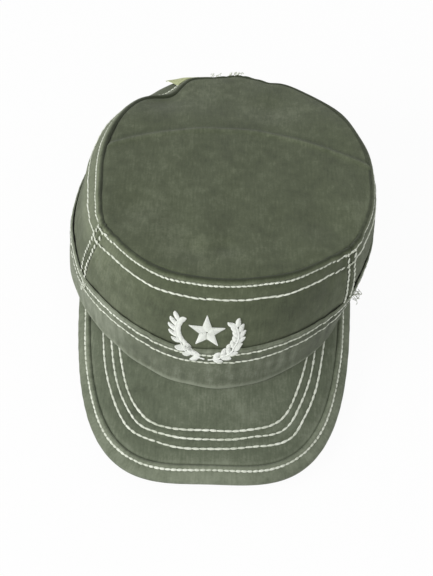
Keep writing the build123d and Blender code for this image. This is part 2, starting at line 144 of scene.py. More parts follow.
@dataclass
class CapForm:
    """Outer shape of the cap in millimetres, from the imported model's boxes.

    Theta runs round the cap from the wearer's left, through the back; h runs up
    the wall from 0 near the foot to 1 at the seam of the flat top. The head's oval
    is pinched in front by a share of its size. Each sag of the folded edge is its
    angle, its width in degrees and its depth.
    """

    half_width: float
    half_length: float
    top_half_width: float
    top_half_length: float
    top_z: float
    visor_half_width: float
    visor_length: float
    visor_z: float
    end_radius: float = 74.0
    foot_z: float = 6.34
    top_lean: float = 9.4
    top_shift: float = 5.24
    top_fall: float = 0.152
    top_tip: float = 0.018
    rear_fall: float = 0.195
    rear_from: float = 45.56
    bulge: float = 5.53
    visor_fall: float = 0.196
    visor_arch: float = 133.7
    visor_power: float = 3.16
    band_height: float = 29.7
    rim_flat_y: float = 60.0
    rim_side_y: float = -40.0
    rim_side_z: float = 13.4
    arch_half_width: float = 33.0
    arch_height: float = 42.0
    arch_rise: float = 26.0
    aspect: float = 1.19
    pinch: float = 0.036
    dent: tuple[float, float] = (-31.0, 72.0)
    dent_width: float = 15.0
    dent_depth: float = 3.0
    sags: tuple[tuple[float, float, float], ...] = ((-103, 14, 2.7), (-79, 10, 0.9))
    roll: Crumple = Crumple(5, 9, (5, 17), 0.04, 0.42)

    def head(self, theta: Array) -> tuple[Array, Array]:
        """Points on the headband's oval and their outward directions."""
        phi = np.arctan2(self.aspect * np.sin(theta), np.cos(theta))
        c, s = np.abs(np.cos(phi)), np.abs(np.sin(phi))
        r, d = self.end_radius, self.half_length - self.end_radius
        big = (self.half_width**2 + d**2 - r**2) / (2 * (self.half_width - r))
        x0 = big - self.half_width
        share = r / (big - r)
        at_end = s * x0 * share > c * d * (1 + share)
        length = np.where(at_end, d * s + np.sqrt(r**2 - (d * c) ** 2),
                          -x0 * c + np.sqrt(big**2 - (x0 * s) ** 2))
        x, y = length * np.cos(phi), length * np.sin(phi)
        nx = np.where(at_end, x / r, (x + x0 * np.sign(x)) / big)
        ny = np.where(at_end, (y - d * np.sign(y)) / r, y / big)
        fitted = smooth(np.sin(theta), -0.2, 0.5)[..., None]
        slack = (1 + self.pinch * np.cos(4 * theta)) / (1 + self.pinch)
        loose = np.stack([self.half_width * np.cos(theta) * slack,
                          self.half_length * np.sin(theta) * slack], -1)
        faced = unit(np.stack([self.aspect * np.cos(theta), np.sin(theta)], -1))
        points = np.stack([x, y], -1) * fitted + loose * (1 - fitted)
        return points, unit(np.stack([nx, ny], -1) * fitted + faced * (1 - fitted))

    def flat_z(self, x: Array, y: Array) -> Array:
        """Height of the flat top's cloth."""
        e = y - self.rear_from
        off = (x - self.dent[0]) ** 2 + (y - self.dent[1]) ** 2
        dented = self.dent_depth * np.exp(-off / self.dent_width**2)
        return (self.top_z - self.top_fall * y - self.top_tip * x - dented
                - self.rear_fall * 0.5 * (e + np.sqrt(e * e + 100)))

    def flat_edge(self, theta: Array) -> Array:
        """Outline of the flat top in plan, with the slack of its soft corners."""
        # slow waves of the outline, as shares of its size
        m = (1 + .009 * np.cos(3 * theta) - .007 * np.cos(4 * theta) + .002 * np.sin(2 * theta)
             - .024 * np.sin(3 * theta) - .002 * np.sin(4 * theta))
        for centre, width, push in SOFT_CORNERS:
            off = away(theta, radians(centre))
            m = m + push / self.top_half_width * bell(off, 0.0, radians(width))
        return np.stack([self.top_half_width * np.cos(theta) * m + self.top_lean,
                         self.top_half_length * np.sin(theta) * m + self.top_shift], -1)

    def wall(self, theta: Array, h: Array, out: Array = 0.0) -> Array:
        """Points on the wall.

        Args:
            theta: angle round the cap.
            h: share of the way up.
            out: millimetres outwards from the headband's outside.

        Returns:
            Points with the shape that the arguments make together.
        """
        theta, h, out = np.broadcast_arrays(np.asarray(theta, float), h, out)
        base, normal = self.head(theta)
        top = self.flat_edge(theta)
        high = smooth(h, 0.34, 0.66)
        behind = np.sin(theta)
        rear = smooth(behind, 0.1, 0.66) * (1 - high) + smooth(behind, 0.55, 0.98) * high
        upright = 0.38
        late = np.clip((h - upright) / (1 - upright), 0, None) ** 1.5
        lean = h * (1 - rear) + late * rear
        rising = 0.5 * (h + np.sqrt(h * h + .004))
        belly = self.bulge * 4 * rising * np.clip(1 - h, 0, 1) * (1 - rear)
        slack = self.roll.at(theta, 60 * h) * smooth(h, 0.3, 0.75)
        slack = slack + WALL_INSET * (1 - rear * (1 - smooth(h, 0.4, 0.9)))
        for centre, width, middle, tall, push in SLUMPS:
            off = away(theta, radians(centre))
            slack = slack + push * bell(off, 0, radians(width)) * bell(h, middle, tall)
        xy = base + (top - base) * lean[..., None] + normal * (belly + slack + out)[..., None]
        z = self.foot_z * (1 - h) + h * self.flat_z(top[..., 0], top[..., 1])
        return np.concatenate([xy, z[..., None]], -1)

    def visor_top(self, x: Array, y: Array) -> Array:
        """Height of the visor's upper face."""
        side = self.visor_arch - np.sqrt(np.maximum(self.visor_arch**2 - x * x, 1.0))
        return self.visor_z + self.visor_fall * (y + self.half_length) - side

    def rim_z(self, x: Array, y: Array) -> Array:
        """Height of the headband's lower edge."""
        span = self.rim_flat_y - self.rim_side_y
        behind = self.rim_side_z * np.clip((self.rim_flat_y - y) / span, 0, None)
        ahead = smooth(-y, -self.rim_side_y, -self.rim_side_y + 16)
        return behind * (1 - ahead) + (self.visor_top(x, y) + 0.8) * ahead

    def h_at(self, theta: Array, z: Array) -> Array:
        """Share of the way up at which the wall reaches a height."""
        top = self.flat_edge(theta)
        return (z - self.foot_z) / (self.flat_z(top[..., 0], top[..., 1]) - self.foot_z)

    def rim(self, theta: Array, out: float = 0.0) -> Array:
        """h of the headband's lower edge."""
        h = np.full(np.shape(theta), 0.1)
        for _ in range(6):
            p = self.wall(theta, h, out)
            h = self.h_at(theta, self.rim_z(p[..., 0], p[..., 1]))
        return h

    def slope_length(self, theta: Array) -> Array:
        """Millimetres along the wall for each whole h."""
        gap = self.wall(theta, 0.95) - self.wall(theta, 0.25)
        return np.linalg.norm(gap, axis=-1) / 0.7

    def band_top(self, theta: Array) -> Array:
        """h of the headband's folded upper edge."""
        sag = sum(deep * bell(theta, radians(at), radians(wide)) for at, wide, deep in self.sags)
        return self.rim(theta) + (self.band_height - sag) / self.slope_length(theta)

    def arch_z(self, x: Array, inset: float = 0.0) -> Array:
        """Height of the arched opening's edge at x, zero outside it."""
        rise = self.arch_rise
        radius = (self.arch_half_width**2 + rise**2) / (2 * rise) - inset
        inside = np.abs(x) < self.arch_half_width - inset
        crown = self.arch_height - inset - radius + np.sqrt(np.maximum(radius**2 - x * x, 0))
        return np.where(inside, crown, 0.0)

    def find(self, side: Side, x: Array, z: Array, out: Array = 0.0) -> tuple[Array, Array]:
        """theta and h of the wall's point at a given x and z on one side."""
        x, z = np.broadcast_arrays(np.asarray(x, float), np.asarray(z, float))
        theta = side.value - x / ARC * np.sign(side.value)
        h = self.h_at(theta, z)
        for _ in range(14):
            p = self.wall(theta, h, out)
            slope = (self.wall(theta + .001, h, out)[..., 0] - p[..., 0]) / .001
            theta = theta + 0.8 * (x - p[..., 0]) / slope
            h = self.h_at(theta, z)
        return theta, h

    def along(self, theta: Array) -> Array:
        """Millimetres round the headband to each angle."""
        dense = np.linspace(-pi, 2 * pi, 2161)
        p, _ = self.head(dense)
        run = np.concatenate([[0], np.cumsum(np.linalg.norm(np.diff(p, axis=0), axis=1))])
        return np.interp(theta, dense, run)


SEAM_RIGHT, SEAM_LEFT, SEAM_BACK = radians(-151.14), radians(-39.13), radians(90)
# soft places of the flat top's edge: angle and width in degrees, push outwards in millimetres
SOFT_CORNERS: tuple[tuple[float, float, float], ...] = (
    (-39, 8, 1.4), (-147, 5, 1.0), (-166, 12, -2.6), (172, 22, -2.4), (122, 8, -6.0), (109, 5, 1.6),
    (88, 5, 1.8), (74, 3.5, -1.6), (66, 7, 1.2))
# soft places of the wall: angle and width in degrees, height up the wall and its width as
# shares of the wall, push outwards in millimetres
SLUMPS: tuple[tuple[float, float, float, float, float], ...] = (
    (-17, 24, 0.05, 0.55, -4.4), (-176, 26, 0.0, 0.45, -2.2), (-168, 24, 0.84, 0.12, 1.2),
    (120, 11, 0.85, 0.08, 7.0), (-85, 26, 0.1, 0.3, 1.3), (-48, 9, 0.1, 0.3, 1.4),
    (-5, 22, 1.02, 0.05, -1.6), (165, 30, 0.84, 0.14, 1.8), (148, 18, 0.82, 0.16, 1.6))
# dimples of the flat top: place across and along, relative depth, width
DIMPLES: tuple[tuple[float, float, float, float], ...] = (
    (-9, -61, 0.9, 7), (6, -57, 0.8, 6), (-40, -30, 0.7, 12), (52, -40, 0.6, 10),
    (30, 60, 1.0, 12), (-30, 66, 1.0, 10))
# tufts of loose thread: angle in degrees, millimetres below the folded edge, threads, reach
TUFTS: tuple[tuple[float, float, int, float], ...] = (
    (-28, 13.0, 12, 4.6), (88, -28.5, 7, 2.2), (97, -28.5, 6, 2.2), (-148, 3.0, 5, 2.4))


def cap_form() -> CapForm:
    """The form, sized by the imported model's boxes."""
    def sized(node: str) -> tuple[Array, Array]:
        low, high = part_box(node)
        return np.array(low) / MM, np.array(high) / MM

    band_low, band_high = sized("headband")
    top_low, top_high = sized("crown_top")
    edge_low, edge_high = sized("visor_edge_binding")
    _, cover_high = sized("visor_top_cover")
    half = (band_high - band_low) / 2
    flat = (top_high - top_low) / 2
    return CapForm(
        half_width=half[0], half_length=-band_low[1], top_half_width=flat[0] + 1.5,
        top_half_length=flat[1] + 2.2, top_z=top_high[2] - 12.56,
        visor_half_width=(edge_high[0] - edge_low[0]) / 2 + 0.9, visor_length=-edge_low[1] + 1.0,
        visor_z=cover_high[2] - 0.9)


# ---------------------------------------------------------------- meshes

def in_scene(name: str, data: bpy.types.ID) -> bpy.types.Object:
    """New object, linked to the scene."""
    obj = bpy.data.objects.new(name, data)
    bpy.context.scene.collection.objects.link(obj)
    return obj


def make_mesh(name: str, points: Array, quads: Array, uv: Array, wear: Array) -> bpy.types.Object:
    """Mesh object with outward faces, a cloth map and a value at each point of rubbed paleness,
    painted light and painted shade.

    Args:
        name: piece name.
        points: n by 3, in millimetres.
        quads: faces, k by 4.
        uv: k by 4 by 2, in millimetres.
        wear: n values, light above 0 and dark below: rubbed paleness, painted light and painted
            shade.

    Returns:
        The object, at the origin.
    """
    tri = points[quads[:, [0, 1, 2, 0, 2, 3]]].reshape(-1, 3, 3)
    if np.einsum("ij,ij->i", tri[:, 0], np.cross(tri[:, 1], tri[:, 2])).sum() < 0:
        quads, uv = quads[:, ::-1], uv[:, ::-1]
    mesh = bpy.data.meshes.new(name)
    mesh.from_pydata((points * MM).tolist(), [], quads.tolist())
    mesh.uv_layers.new(name=CLOTH_MAP).data.foreach_set("uv", (uv * MM).ravel())
    mesh.attributes.new(WEAR_AND_PAINTED_LIGHT, "FLOAT", "POINT").data.foreach_set("value", wear.astype("f4"))
    weld(mesh)
    return in_scene(name, mesh)


def weld(mesh: bpy.types.Mesh, crease: float = radians(48)) -> None:
    """Merges points that meet, drops collapsed faces and shades the rest smooth."""
    work = bmesh.new()
    work.from_mesh(mesh)
    bmesh.ops.remove_doubles(work, verts=work.verts, dist=2e-6)
    bmesh.ops.dissolve_degenerate(work, edges=work.edges, dist=1e-7)
    work.to_mesh(mesh)
    work.free()
    mesh.polygons.foreach_set("use_smooth", np.ones(len(mesh.polygons), bool))
    mesh.set_sharp_from_angle(angle=crease)


def loft(name: str, grid: Array, ring: bool = False, wrap: bool = True,
         wear: Union[Array, float] = 0.0, u: Optional[Array] = None) -> bpy.types.Object:
    """Skin over a row of sections.

    Args:
        name: piece name.
        grid: sections by points by 3. A wrapped section has an even count, and its
            points j and m - 1 - j face each other, so that its ends can be closed.
        ring: the last section joins the first.
        wrap: each section is a closed loop.
        wear: value of each grid point: rubbed paleness, painted light and painted shade.
        u: cloth map's place along the sections, in millimetres.

    Returns:
        The object.
    """
    n, m = grid.shape[:2]
    i, j = np.meshgrid(np.arange(n if ring else n - 1), np.arange(m if wrap else m - 1),
                       indexing="ij")
    i, j = i.ravel(), j.ravel()
    i2, j2 = (i + 1) % n, (j + 1) % m
    quads = np.stack([i * m + j, i2 * m + j, i2 * m + j2, i * m + j2], -1)
    if u is None:
        step = np.linalg.norm(np.diff(grid, axis=0), axis=-1).mean(1)
        u = np.concatenate([[0], np.cumsum(step)])
    u = np.append(u, u[-1] + (u[-1] - u[-2]))
    side = np.linalg.norm(np.roll(grid, -1, 1) - grid, axis=-1)
    v = np.concatenate([np.zeros((n, 1)), np.cumsum(side, 1)], 1)
    v = np.vstack([v, v[:1]])
    uv = np.stack([np.stack([u[i], v[i, j]], -1), np.stack([u[i + 1], v[i + 1, j]], -1),
                   np.stack([u[i + 1], v[i + 1, j + 1]], -1), np.stack([u[i], v[i, j + 1]], -1)], 1)
    if wrap and not ring:
        k = np.arange(m // 2 - 1)
        for at, flip in ((0, False), (n - 1, True)):
            cap = at * m + np.stack([k, k + 1, m - 2 - k, m - 1 - k], -1)
            corner = np.stack([k * 1.0, k * 0.0], -1)
            quads = np.vstack([quads, cap[:, ::-1] if flip else cap])
            uv = np.vstack([uv, np.repeat(corner[:, None], 4, 1)])
    wear_and_painted_light_per_point = np.broadcast_to(wear, (n, m)).ravel()
    return make_mesh(name, grid.reshape(-1, 3), quads, uv, np.asarray(wear_and_painted_light_per_point, float))


def round_strip(width: float, depth: float, steps: int = 5) -> Array:
    """Closed rounded section, its points in pairs that face each other across its depth."""
    r = depth / 2
    turn = np.linspace(0, pi / 2, steps)
    left = np.stack([-(width / 2 - r) - r * np.cos(turn), r * np.sin(turn)], -1)
    right = left[::-1] * [-1, 1]
    upper = np.vstack([left, right])
    lower = upper[::-1] * [1, -1]
    return np.vstack([upper, lower])


def sweep(path: Array, across: Array, normal: Array, section: Array) -> Array:
    """Sections of a loft: a flat section carried along a path.

    Args:
        path: n by 3.
        across: directions of the section's x.
        normal: directions of the section's y.
        section: m by 2.

    Returns:
        n by m by 3.
    """
    return (path[:, None] + across[:, None] * section[None, :, 0, None]
            + normal[:, None] * section[None, :, 1, None])


def facing(grid: Array, ring: bool = False) -> Array:
    """Outward directions of a grid whose sections run round the cap, their points going up."""
    if ring:
        along = np.roll(grid, -1, 0) - np.roll(grid, 1, 0)
    else:
        along = np.gradient(grid, axis=0)
    return unit(np.cross(along, np.gradient(grid, axis=1)))


def thicken(outer: Array, depth: float, ring: bool = False) -> Array:
    """Closed sections of a cloth whose outer face is given."""
    inner = outer - facing(outer, ring) * depth
    return np.concatenate([outer, inner[:, ::-1]], 1)


# ---------------------------------------------------------------- nodes

Socketed = Union["Value", float, int, Sequence[float], bpy.types.ID, str]


@dataclass
class Value:
    """A node's output socket that takes part in Python arithmetic."""

    graph: "Graph"
    socket: bpy.types.NodeSocket

    def math(self, operation: str, first: Socketed, second: Socketed = 0.0) -> "Value":
        """One Math node."""
        return self.graph.node("*ShaderNodeMath", {"operation": operation}, {0: first, 1: second})

    def __add__(self, other: Socketed) -> "Value":
        """Sum."""
        return self.math("ADD", self, other)

    def __sub__(self, other: Socketed) -> "Value":
        """Difference."""
        return self.math("SUBTRACT", self, other)

    def __rsub__(self, other: Socketed) -> "Value":
        """Difference from a number."""
        return self.math("SUBTRACT", other, self)

    def __mul__(self, other: Socketed) -> "Value":
        """Product."""
        return self.math("MULTIPLY", self, other)

    def __truediv__(self, other: Socketed) -> "Value":
        """Quotient."""
        return self.math("DIVIDE", self, other)

    __radd__ = __add__
    __rmul__ = __mul__

    def wave(self) -> "Value":
        """Sine, moved to run from 0 to 1."""
        return self.math("SINE", self) * 0.5 + 0.5

    def limit(self) -> "Value":
        """Kept between 0 and 1."""
        return self.math("MAXIMUM", self.math("MINIMUM", self, 1.0), 0.0)

    def out(self, name: Union[str, int]) -> "Value":
        """Another output of the same node."""
        return Value(self.graph, self.socket.node.outputs[name])


@dataclass
class Graph:
    """A node tree under construction."""

    tree: bpy.types.NodeTree
    prefix: str = "ShaderNode"

    def node(self, kind: str, settings: Optional[dict] = None,
             sockets: Optional[dict] = None) -> Value:
        """Adds a node.

        Args:
            kind: node type, short of the graph's prefix, or in full with a leading *.
            settings: the node's own properties; "stops" are a colour ramp's.
            sockets: values or links by input name or index.

        Returns:
            The node's first output.
        """
        made = self.tree.nodes.new(kind[1:] if kind[0] == "*" else self.prefix + kind)
        for key, value in (settings or {}).items():
            if key == "stops":
                ramp = made.color_ramp.elements
                while len(ramp) < len(value):
                    ramp.new(0.5)
                for element, (place, colour) in zip(ramp, value):
                    element.position, element.color = place, (*colour, 1.0)
            else:
                setattr(made, key, value)
        for key, value in (sockets or {}).items():
            if isinstance(value, Value):
                self.tree.links.new(value.socket, made.inputs[key])
            else:
                made.inputs[key].default_value = value
        return Value(self, made.outputs[0]) if made.outputs else Value(self, made.inputs[0])

    def blend(self, share: Socketed, first: Socketed, second: Socketed) -> Value:
        """Colour between two."""
        def full(c: Socketed) -> Socketed:
            return (*c, 1.0) if isinstance(c, tuple) and len(c) == 3 else c
        return self.node("Mix", {"data_type": "RGBA"},
                         {0: share, 6: full(first), 7: full(second)}).out(2)

    def noise(self, place: Value, scale: float, detail: float = 3.0, rough: float = 0.55) -> Value:
        """Noise value about 0.5."""
        return self.node("TexNoise", {}, {"Vector": place, "Scale": scale, "Detail": detail,
                                          "Roughness": rough})


def emptied(owner: Union[bpy.types.Material, bpy.types.World]) -> Graph:
    """Graph of a material's or world's own node tree, with nothing left in it."""
    owner.use_nodes = True
    owner.node_tree.nodes.clear()
    return Graph(owner.node_tree)


def principled(name: str, make: Callable[[Graph], dict]) -> bpy.types.Material:
    """Material with one Principled shader.

    Args:
        name: material name.
        make: gives the shader's sockets from the graph.

    Returns:
        The material.
    """
    material = bpy.data.materials.new(name)
    graph = emptied(material)
    shader = graph.node("BsdfPrincipled", {}, make(graph))
    graph.node("OutputMaterial", {}, {"Surface": shader})
    return material


@dataclass(frozen=True)
class TwillFinish:
    """Washed cotton twill: diagonal ribs with painted light and shade, slubs, uneven fading, pale
    rubbed edges and the painted light and shade carried by each point's value.
    """

    name: str
    colour: Colour
    faded_and_lit: Colour
    deep: Colour
    rib: float = 0.62
    mottle: float = 3.2
    relief: float = 0.35

    def make(self) -> bpy.types.Material:
        """The material."""
        def sockets(g: Graph) -> dict:
            cloth = g.node("UVMap", {"uv_map": CLOTH_MAP})
            split = g.node("SeparateXYZ", {}, {0: cloth})
            u, v = split.out("X") * 1000.0, split.out("Y") * 1000.0
            place = g.node("TexCoord").out("Object")
            wear = g.node("Attribute", {"attribute_name": WEAR_AND_PAINTED_LIGHT}).out("Fac")
            waver = g.noise(cloth, 260.0, 2.0)
            rib = ((u + v * 0.9 + waver * 0.8) * (tau / self.rib)).wave()
            pick = ((u * 0.9 - v) * (tau / (self.rib * 0.55))).wave()
            slub = g.noise(cloth, 900.0, 2.0)
            broad = g.noise(place, 22.0, 4.0, 0.6)
            fine = g.noise(place, 160.0, 4.0, 0.65)
            warp = g.noise(g.node("CombineXYZ", {}, {"X": u * 0.9, "Y": v * 0.13}), 1.0, 2.0)
            cloudy = (broad * 0.5 + fine * 0.5 - 0.5) * self.mottle
            speck = (slub * 0.4 + warp * 0.6 - 0.5) * (0.5 * self.mottle)
            # each rib is lighter on its crest and darker between: painted light and shade on the
            # weave; the point value brings rubbed paleness, painted light and painted shade
            light = (cloudy + speck + wear + rib * 0.12 - 0.06).limit()
            dark = (0.0 - cloudy - speck - wear - rib * 0.1).limit()
            colour = g.blend(dark, g.blend(light, self.colour, self.faded_and_lit), self.deep)
            height = rib * 0.55 + pick * 0.25 + slub * 0.35 + fine * 0.5
            bump = g.node("Bump", {}, {"Strength": self.relief, "Distance": 0.0004,
                                       "Height": height})
            return {"Base Color": colour, "Roughness": 0.94 - slub * 0.1, "Normal": bump,
                    "Specular IOR Level": 0.18, "Sheen Weight": 0.12, "Sheen Roughness": 0.6}
        return principled(self.name, sockets)


@dataclass(frozen=True)
class ThreadFinish:
    """Spun thread: twisted strands with a soft shine, a little soil here and there, and painted
    shade between the strands.
    """

    name: str
    colour: Colour
    soiled_and_shaded: Colour
    twist: float = 0.5

    def make(self) -> bpy.types.Material:
        """The material."""
        def sockets(g: Graph) -> dict:
            place = g.node("TexCoord").out("Object")
            split = g.node("SeparateXYZ", {}, {0: place})
            lean = (split.out("X") + split.out("Y") * 0.7 + split.out("Z") * 1.3) * 1000.0
            strand = (lean * (tau / self.twist)).wave()
            soil = g.noise(place, 70.0, 3.0)
            fuzz = g.noise(place, 2200.0, 2.0)
            # soil patches, and painted shade in the hollows between the twisted strands
            share = ((soil - 0.42) * 2.4 + (1 - strand) * 0.22).limit()
            bump = g.node("Bump", {}, {"Strength": 0.5, "Distance": 0.0002,
                                       "Height": strand * 0.7 + fuzz * 0.5})
            return {"Base Color": g.blend(share, self.colour, self.soiled_and_shaded), "Normal": bump,
                    "Roughness": 0.72 + fuzz * 0.16, "Specular IOR Level": 0.3,
                    "Sheen Weight": 0.15}
        return principled(self.name, sockets)


@dataclass(frozen=True)
class MetalFinish:
    """Antique brass: brushed, darker in patches, rubbed at random."""

    name: str
    colour: Colour
    tarnish: Colour

    def make(self) -> bpy.types.Material:
        """The material."""
        def sockets(g: Graph) -> dict:
            place = g.node("TexCoord").out("Object")
            stretched = g.node("Mapping", {}, {"Vector": place, "Scale": (300.0, 300.0, 4000.0)})
            brushed = g.noise(stretched, 1.0, 2.0)
            patch = g.noise(place, 240.0, 4.0, 0.65)
            share = ((patch - 0.44) * 3.4).limit()
            bump = g.node("Bump", {}, {"Strength": 0.12, "Distance": 0.0001,
                                       "Height": brushed + patch * 0.6})
            return {"Base Color": g.blend(share, self.colour, self.tarnish), "Metallic": 1.0,
                    "Roughness": 0.26 + patch * 0.3 + brushed * 0.08, "Normal": bump}
        return principled(self.name, sockets)


@dataclass(frozen=True)
class PlainFinish:
    """Lining, tape, label and board: a plain weave or fibre with faint stains and painted shade
    between the threads.
    """

    name: str
    colour: Colour
    stained_and_shaded: Colour
    thread: float = 0.5
    roughness: float = 0.85

    def make(self) -> bpy.types.Material:
        """The material."""
        def sockets(g: Graph) -> dict:
            cloth = g.node("UVMap", {"uv_map": CLOTH_MAP})
            split = g.node("SeparateXYZ", {}, {0: cloth})
            warp = (split.out("X") * (1000.0 * tau / self.thread)).wave()
            weft = (split.out("Y") * (1000.0 * tau / self.thread)).wave()
            place = g.node("TexCoord").out("Object")
            stain = g.noise(place, 45.0, 4.0, 0.6)
            fibre = g.noise(place, 1500.0, 2.0)
            # stains, and painted shade in the hollows between warp and weft
            share = ((stain - 0.45) * 2.5 + (1 - warp * weft) * 0.15).limit()
            bump = g.node("Bump", {}, {"Strength": 0.3, "Distance": 0.0003,
                                       "Height": warp * weft + fibre * 0.5})
            return {"Base Color": g.blend(share, self.colour, self.stained_and_shaded), "Normal": bump,
                    "Roughness": self.roughness - fibre * 0.08, "Specular IOR Level": 0.25}
        return principled(self.name, sockets)


@dataclass
class Wardrobe:
    """Every finish of the cap."""

    crown: bpy.types.Material = field(default_factory=TwillFinish(
        "crown_twill_cloth", (.088, .105, .058), (.180, .205, .130), (.040, .049, .026)).make)
    band: bpy.types.Material = field(default_factory=TwillFinish(
        "band_twill_cloth", (.124, .143, .094), (.25, .276, .205), (.050, .059, .037)).make)
    visor: bpy.types.Material = field(default_factory=TwillFinish(
        "visor_twill_cloth", (.124, .145, .096), (.235, .262, .190), (.056, .067, .042)).make)
    thread: bpy.types.Material = field(default_factory=ThreadFinish(
        "cream_topstitch", (.88, .91, .80), (.52, .56, .44)).make)
    satin: bpy.types.Material = field(default_factory=ThreadFinish(
        "white_satin_stitch", (.95, .97, .92), (.88, .91, .84), 0.35).make)
    brass: bpy.types.Material = field(default_factory=MetalFinish(
        "antique_brass", (.62, .47, .22), (.20, .14, .06)).make)
    lining: bpy.types.Material = field(default_factory=PlainFinish(
        "lining_cotton", (.10, .115, .08), (.06, .068, .05), 0.45).make)
    label: bpy.types.Material = field(default_factory=PlainFinish(
        "woven_label_yarn", (.56, .60, .34), (.40, .44, .24), 0.35).make)
    size_label: bpy.types.Material = field(default_factory=PlainFinish(
        "size_label_satin", (.80, .80, .76), (.62, .62, .56), 0.3).make)
    board: bpy.types.Material = field(default_factory=PlainFinish(
        "pressed_board", (.30, .25, .18), (.20, .16, .11), 0.8).make)


def new_tree(name: str, inputs: dict[str, str]) -> Graph:
    """Empty geometry tree.

    Args:
        name: tree name.
        inputs: socket type of each named input.

    Returns:
        Its graph, with its input and output nodes still to come.
    """
    tree = bpy.data.node_groups.new(name, "GeometryNodeTree")
    tree.interface.new_socket("Geometry", in_out="INPUT", socket_type="NodeSocketGeometry")
    for label, kind in inputs.items():
        tree.interface.new_socket(label, in_out="INPUT", socket_type="NodeSocket" + kind)
    tree.interface.new_socket("Geometry", in_out="OUTPUT", socket_type="NodeSocketGeometry")
    return Graph(tree, "GeometryNode")


def stitch_tree() -> bpy.types.NodeTree:
    """Tree that lays single stitches end to end along rows."""
    g = new_tree("row_of_stitches", {
        "Pitch": "Float", "Length": "Float", "Width": "Float", "Height": "Float",
        "Sway": "Float", "Seed": "Int", "Thread": "Material"})
    given = g.node("*NodeGroupInput")
    rows = g.node("MeshToCurve", {}, {"Mesh": given})
    points = g.node("ResampleCurve", {"mode": "LENGTH"},
                    {"Curve": rows, "Length": given.out("Pitch")})
    ball = g.node("MeshUVSphere", {}, {"Segments": 8, "Rings": 5, "Radius": 0.5})
    size = g.node("*ShaderNodeCombineXYZ", {}, {
        "X": given.out("Length"), "Y": given.out("Width"), "Z": given.out("Height")})
    stitch = g.node("Transform", {}, {"Geometry": ball, "Scale": size})
    lift = g.node("InputNamedAttribute", {"data_type": "FLOAT_VECTOR"}, {"Name": LIFT})
    turn = g.node("*FunctionNodeAxesToRotation", {"primary_axis": "Z", "secondary_axis": "X"},
                  {0: lift, 1: g.node("InputTangent")})
    sway = given.out("Sway")
    low = g.node("*ShaderNodeCombineXYZ", {}, {
        "X": sway * -0.5, "Y": sway * -0.6, "Z": sway * -1.0})
    high = g.node("*ShaderNodeCombineXYZ", {}, {"X": sway * 0.5, "Y": sway * 0.6, "Z": sway * 1.0})
    wobble = g.node("*FunctionNodeRandomValue", {"data_type": "FLOAT_VECTOR"},
                    {"Min": low, "Max": high, "Seed": given.out("Seed")})
    spin = g.node("*FunctionNodeRotateRotation", {"rotation_space": "LOCAL"},
                  {0: turn, 1: g.node("*FunctionNodeEulerToRotation", {}, {0: wobble})})
    scale = g.node("*FunctionNodeRandomValue", {"data_type": "FLOAT_VECTOR"},
                   {"Min": (0.86, 0.85, 0.85), "Max": (1.06, 1.12, 1.15),
                    "Seed": given.out("Seed")})
    laid = g.node("InstanceOnPoints", {}, {
        "Points": points, "Instance": stitch, "Rotation": spin, "Scale": scale})
    real = g.node("RealizeInstances", {}, {0: laid})
    soft = g.node("SetShadeSmooth", {}, {0: real})
    dressed = g.node("SetMaterial", {}, {0: soft, "Material": given.out("Thread")})
    g.node("*NodeGroupOutput", {}, {0: dressed})
    return g.tree


def strand_tree() -> bpy.types.NodeTree:
    """Tree that lays one unbroken thread along each row."""
    g = new_tree("laid_threads", {"Radius": "Float", "Thread": "Material"})
    given = g.node("*NodeGroupInput")
    rows = g.node("MeshToCurve", {}, {"Mesh": given})
    profile = g.node("CurvePrimitiveCircle", {}, {"Resolution": 6, "Radius": given.out("Radius")})
    tube = g.node("CurveToMesh", {}, {"Curve": rows, "Profile Curve": profile, "Fill Caps": True})
    real = g.node("RealizeInstances", {}, {0: tube})
    soft = g.node("SetShadeSmooth", {}, {0: real})
    dressed = g.node("SetMaterial", {}, {0: soft, "Material": given.out("Thread")})
    g.node("*NodeGroupOutput", {}, {0: dressed})
    return g.tree


Row = tuple[Array, Array]


def grow(name: str, rows: Iterable[Row], tree: bpy.types.NodeTree,
         **inputs: Socketed) -> bpy.types.Object:
    """Runs a tree over rows of points and keeps the result as a plain mesh.

    Args:
        name: piece name.
        rows: each row's points and the directions away from the cloth, in millimetres.
        tree: the geometry tree.
        inputs: the tree's named inputs, lengths in metres.

    Returns:
        The object.
    """
    points, lifts, edges = [], [], []
    for line, lift in rows:
        start = sum(len(p) for p in points)
        edges += [(start + k, start + k + 1) for k in range(len(line) - 1)]
        points.append(np.asarray(line) * MM)
        lifts.append(lift)
    mesh = bpy.data.meshes.new(name + "_rows")
    mesh.from_pydata(np.vstack(points).tolist(), edges, [])
    up = mesh.attributes.new(LIFT, "FLOAT_VECTOR", "POINT")
    up.data.foreach_set("vector", np.vstack(lifts).astype("f4").ravel())
    carrier = in_scene(name + "_rows", mesh)
    modifier = carrier.modifiers.new("grow", "NODES")
    modifier.node_group = tree
    for item in tree.interface.items_tree:
        if item.in_out == "INPUT" and item.name in inputs:
            modifier[item.identifier] = inputs[item.name]
    bpy.context.view_layer.update()
    result = carrier.evaluated_get(bpy.context.evaluated_depsgraph_get())
    made = bpy.data.meshes.new_from_object(result)
    made.name = name
    carrier.modifiers.remove(modifier)
    bpy.data.objects.remove(carrier)
    return in_scene(name, made)


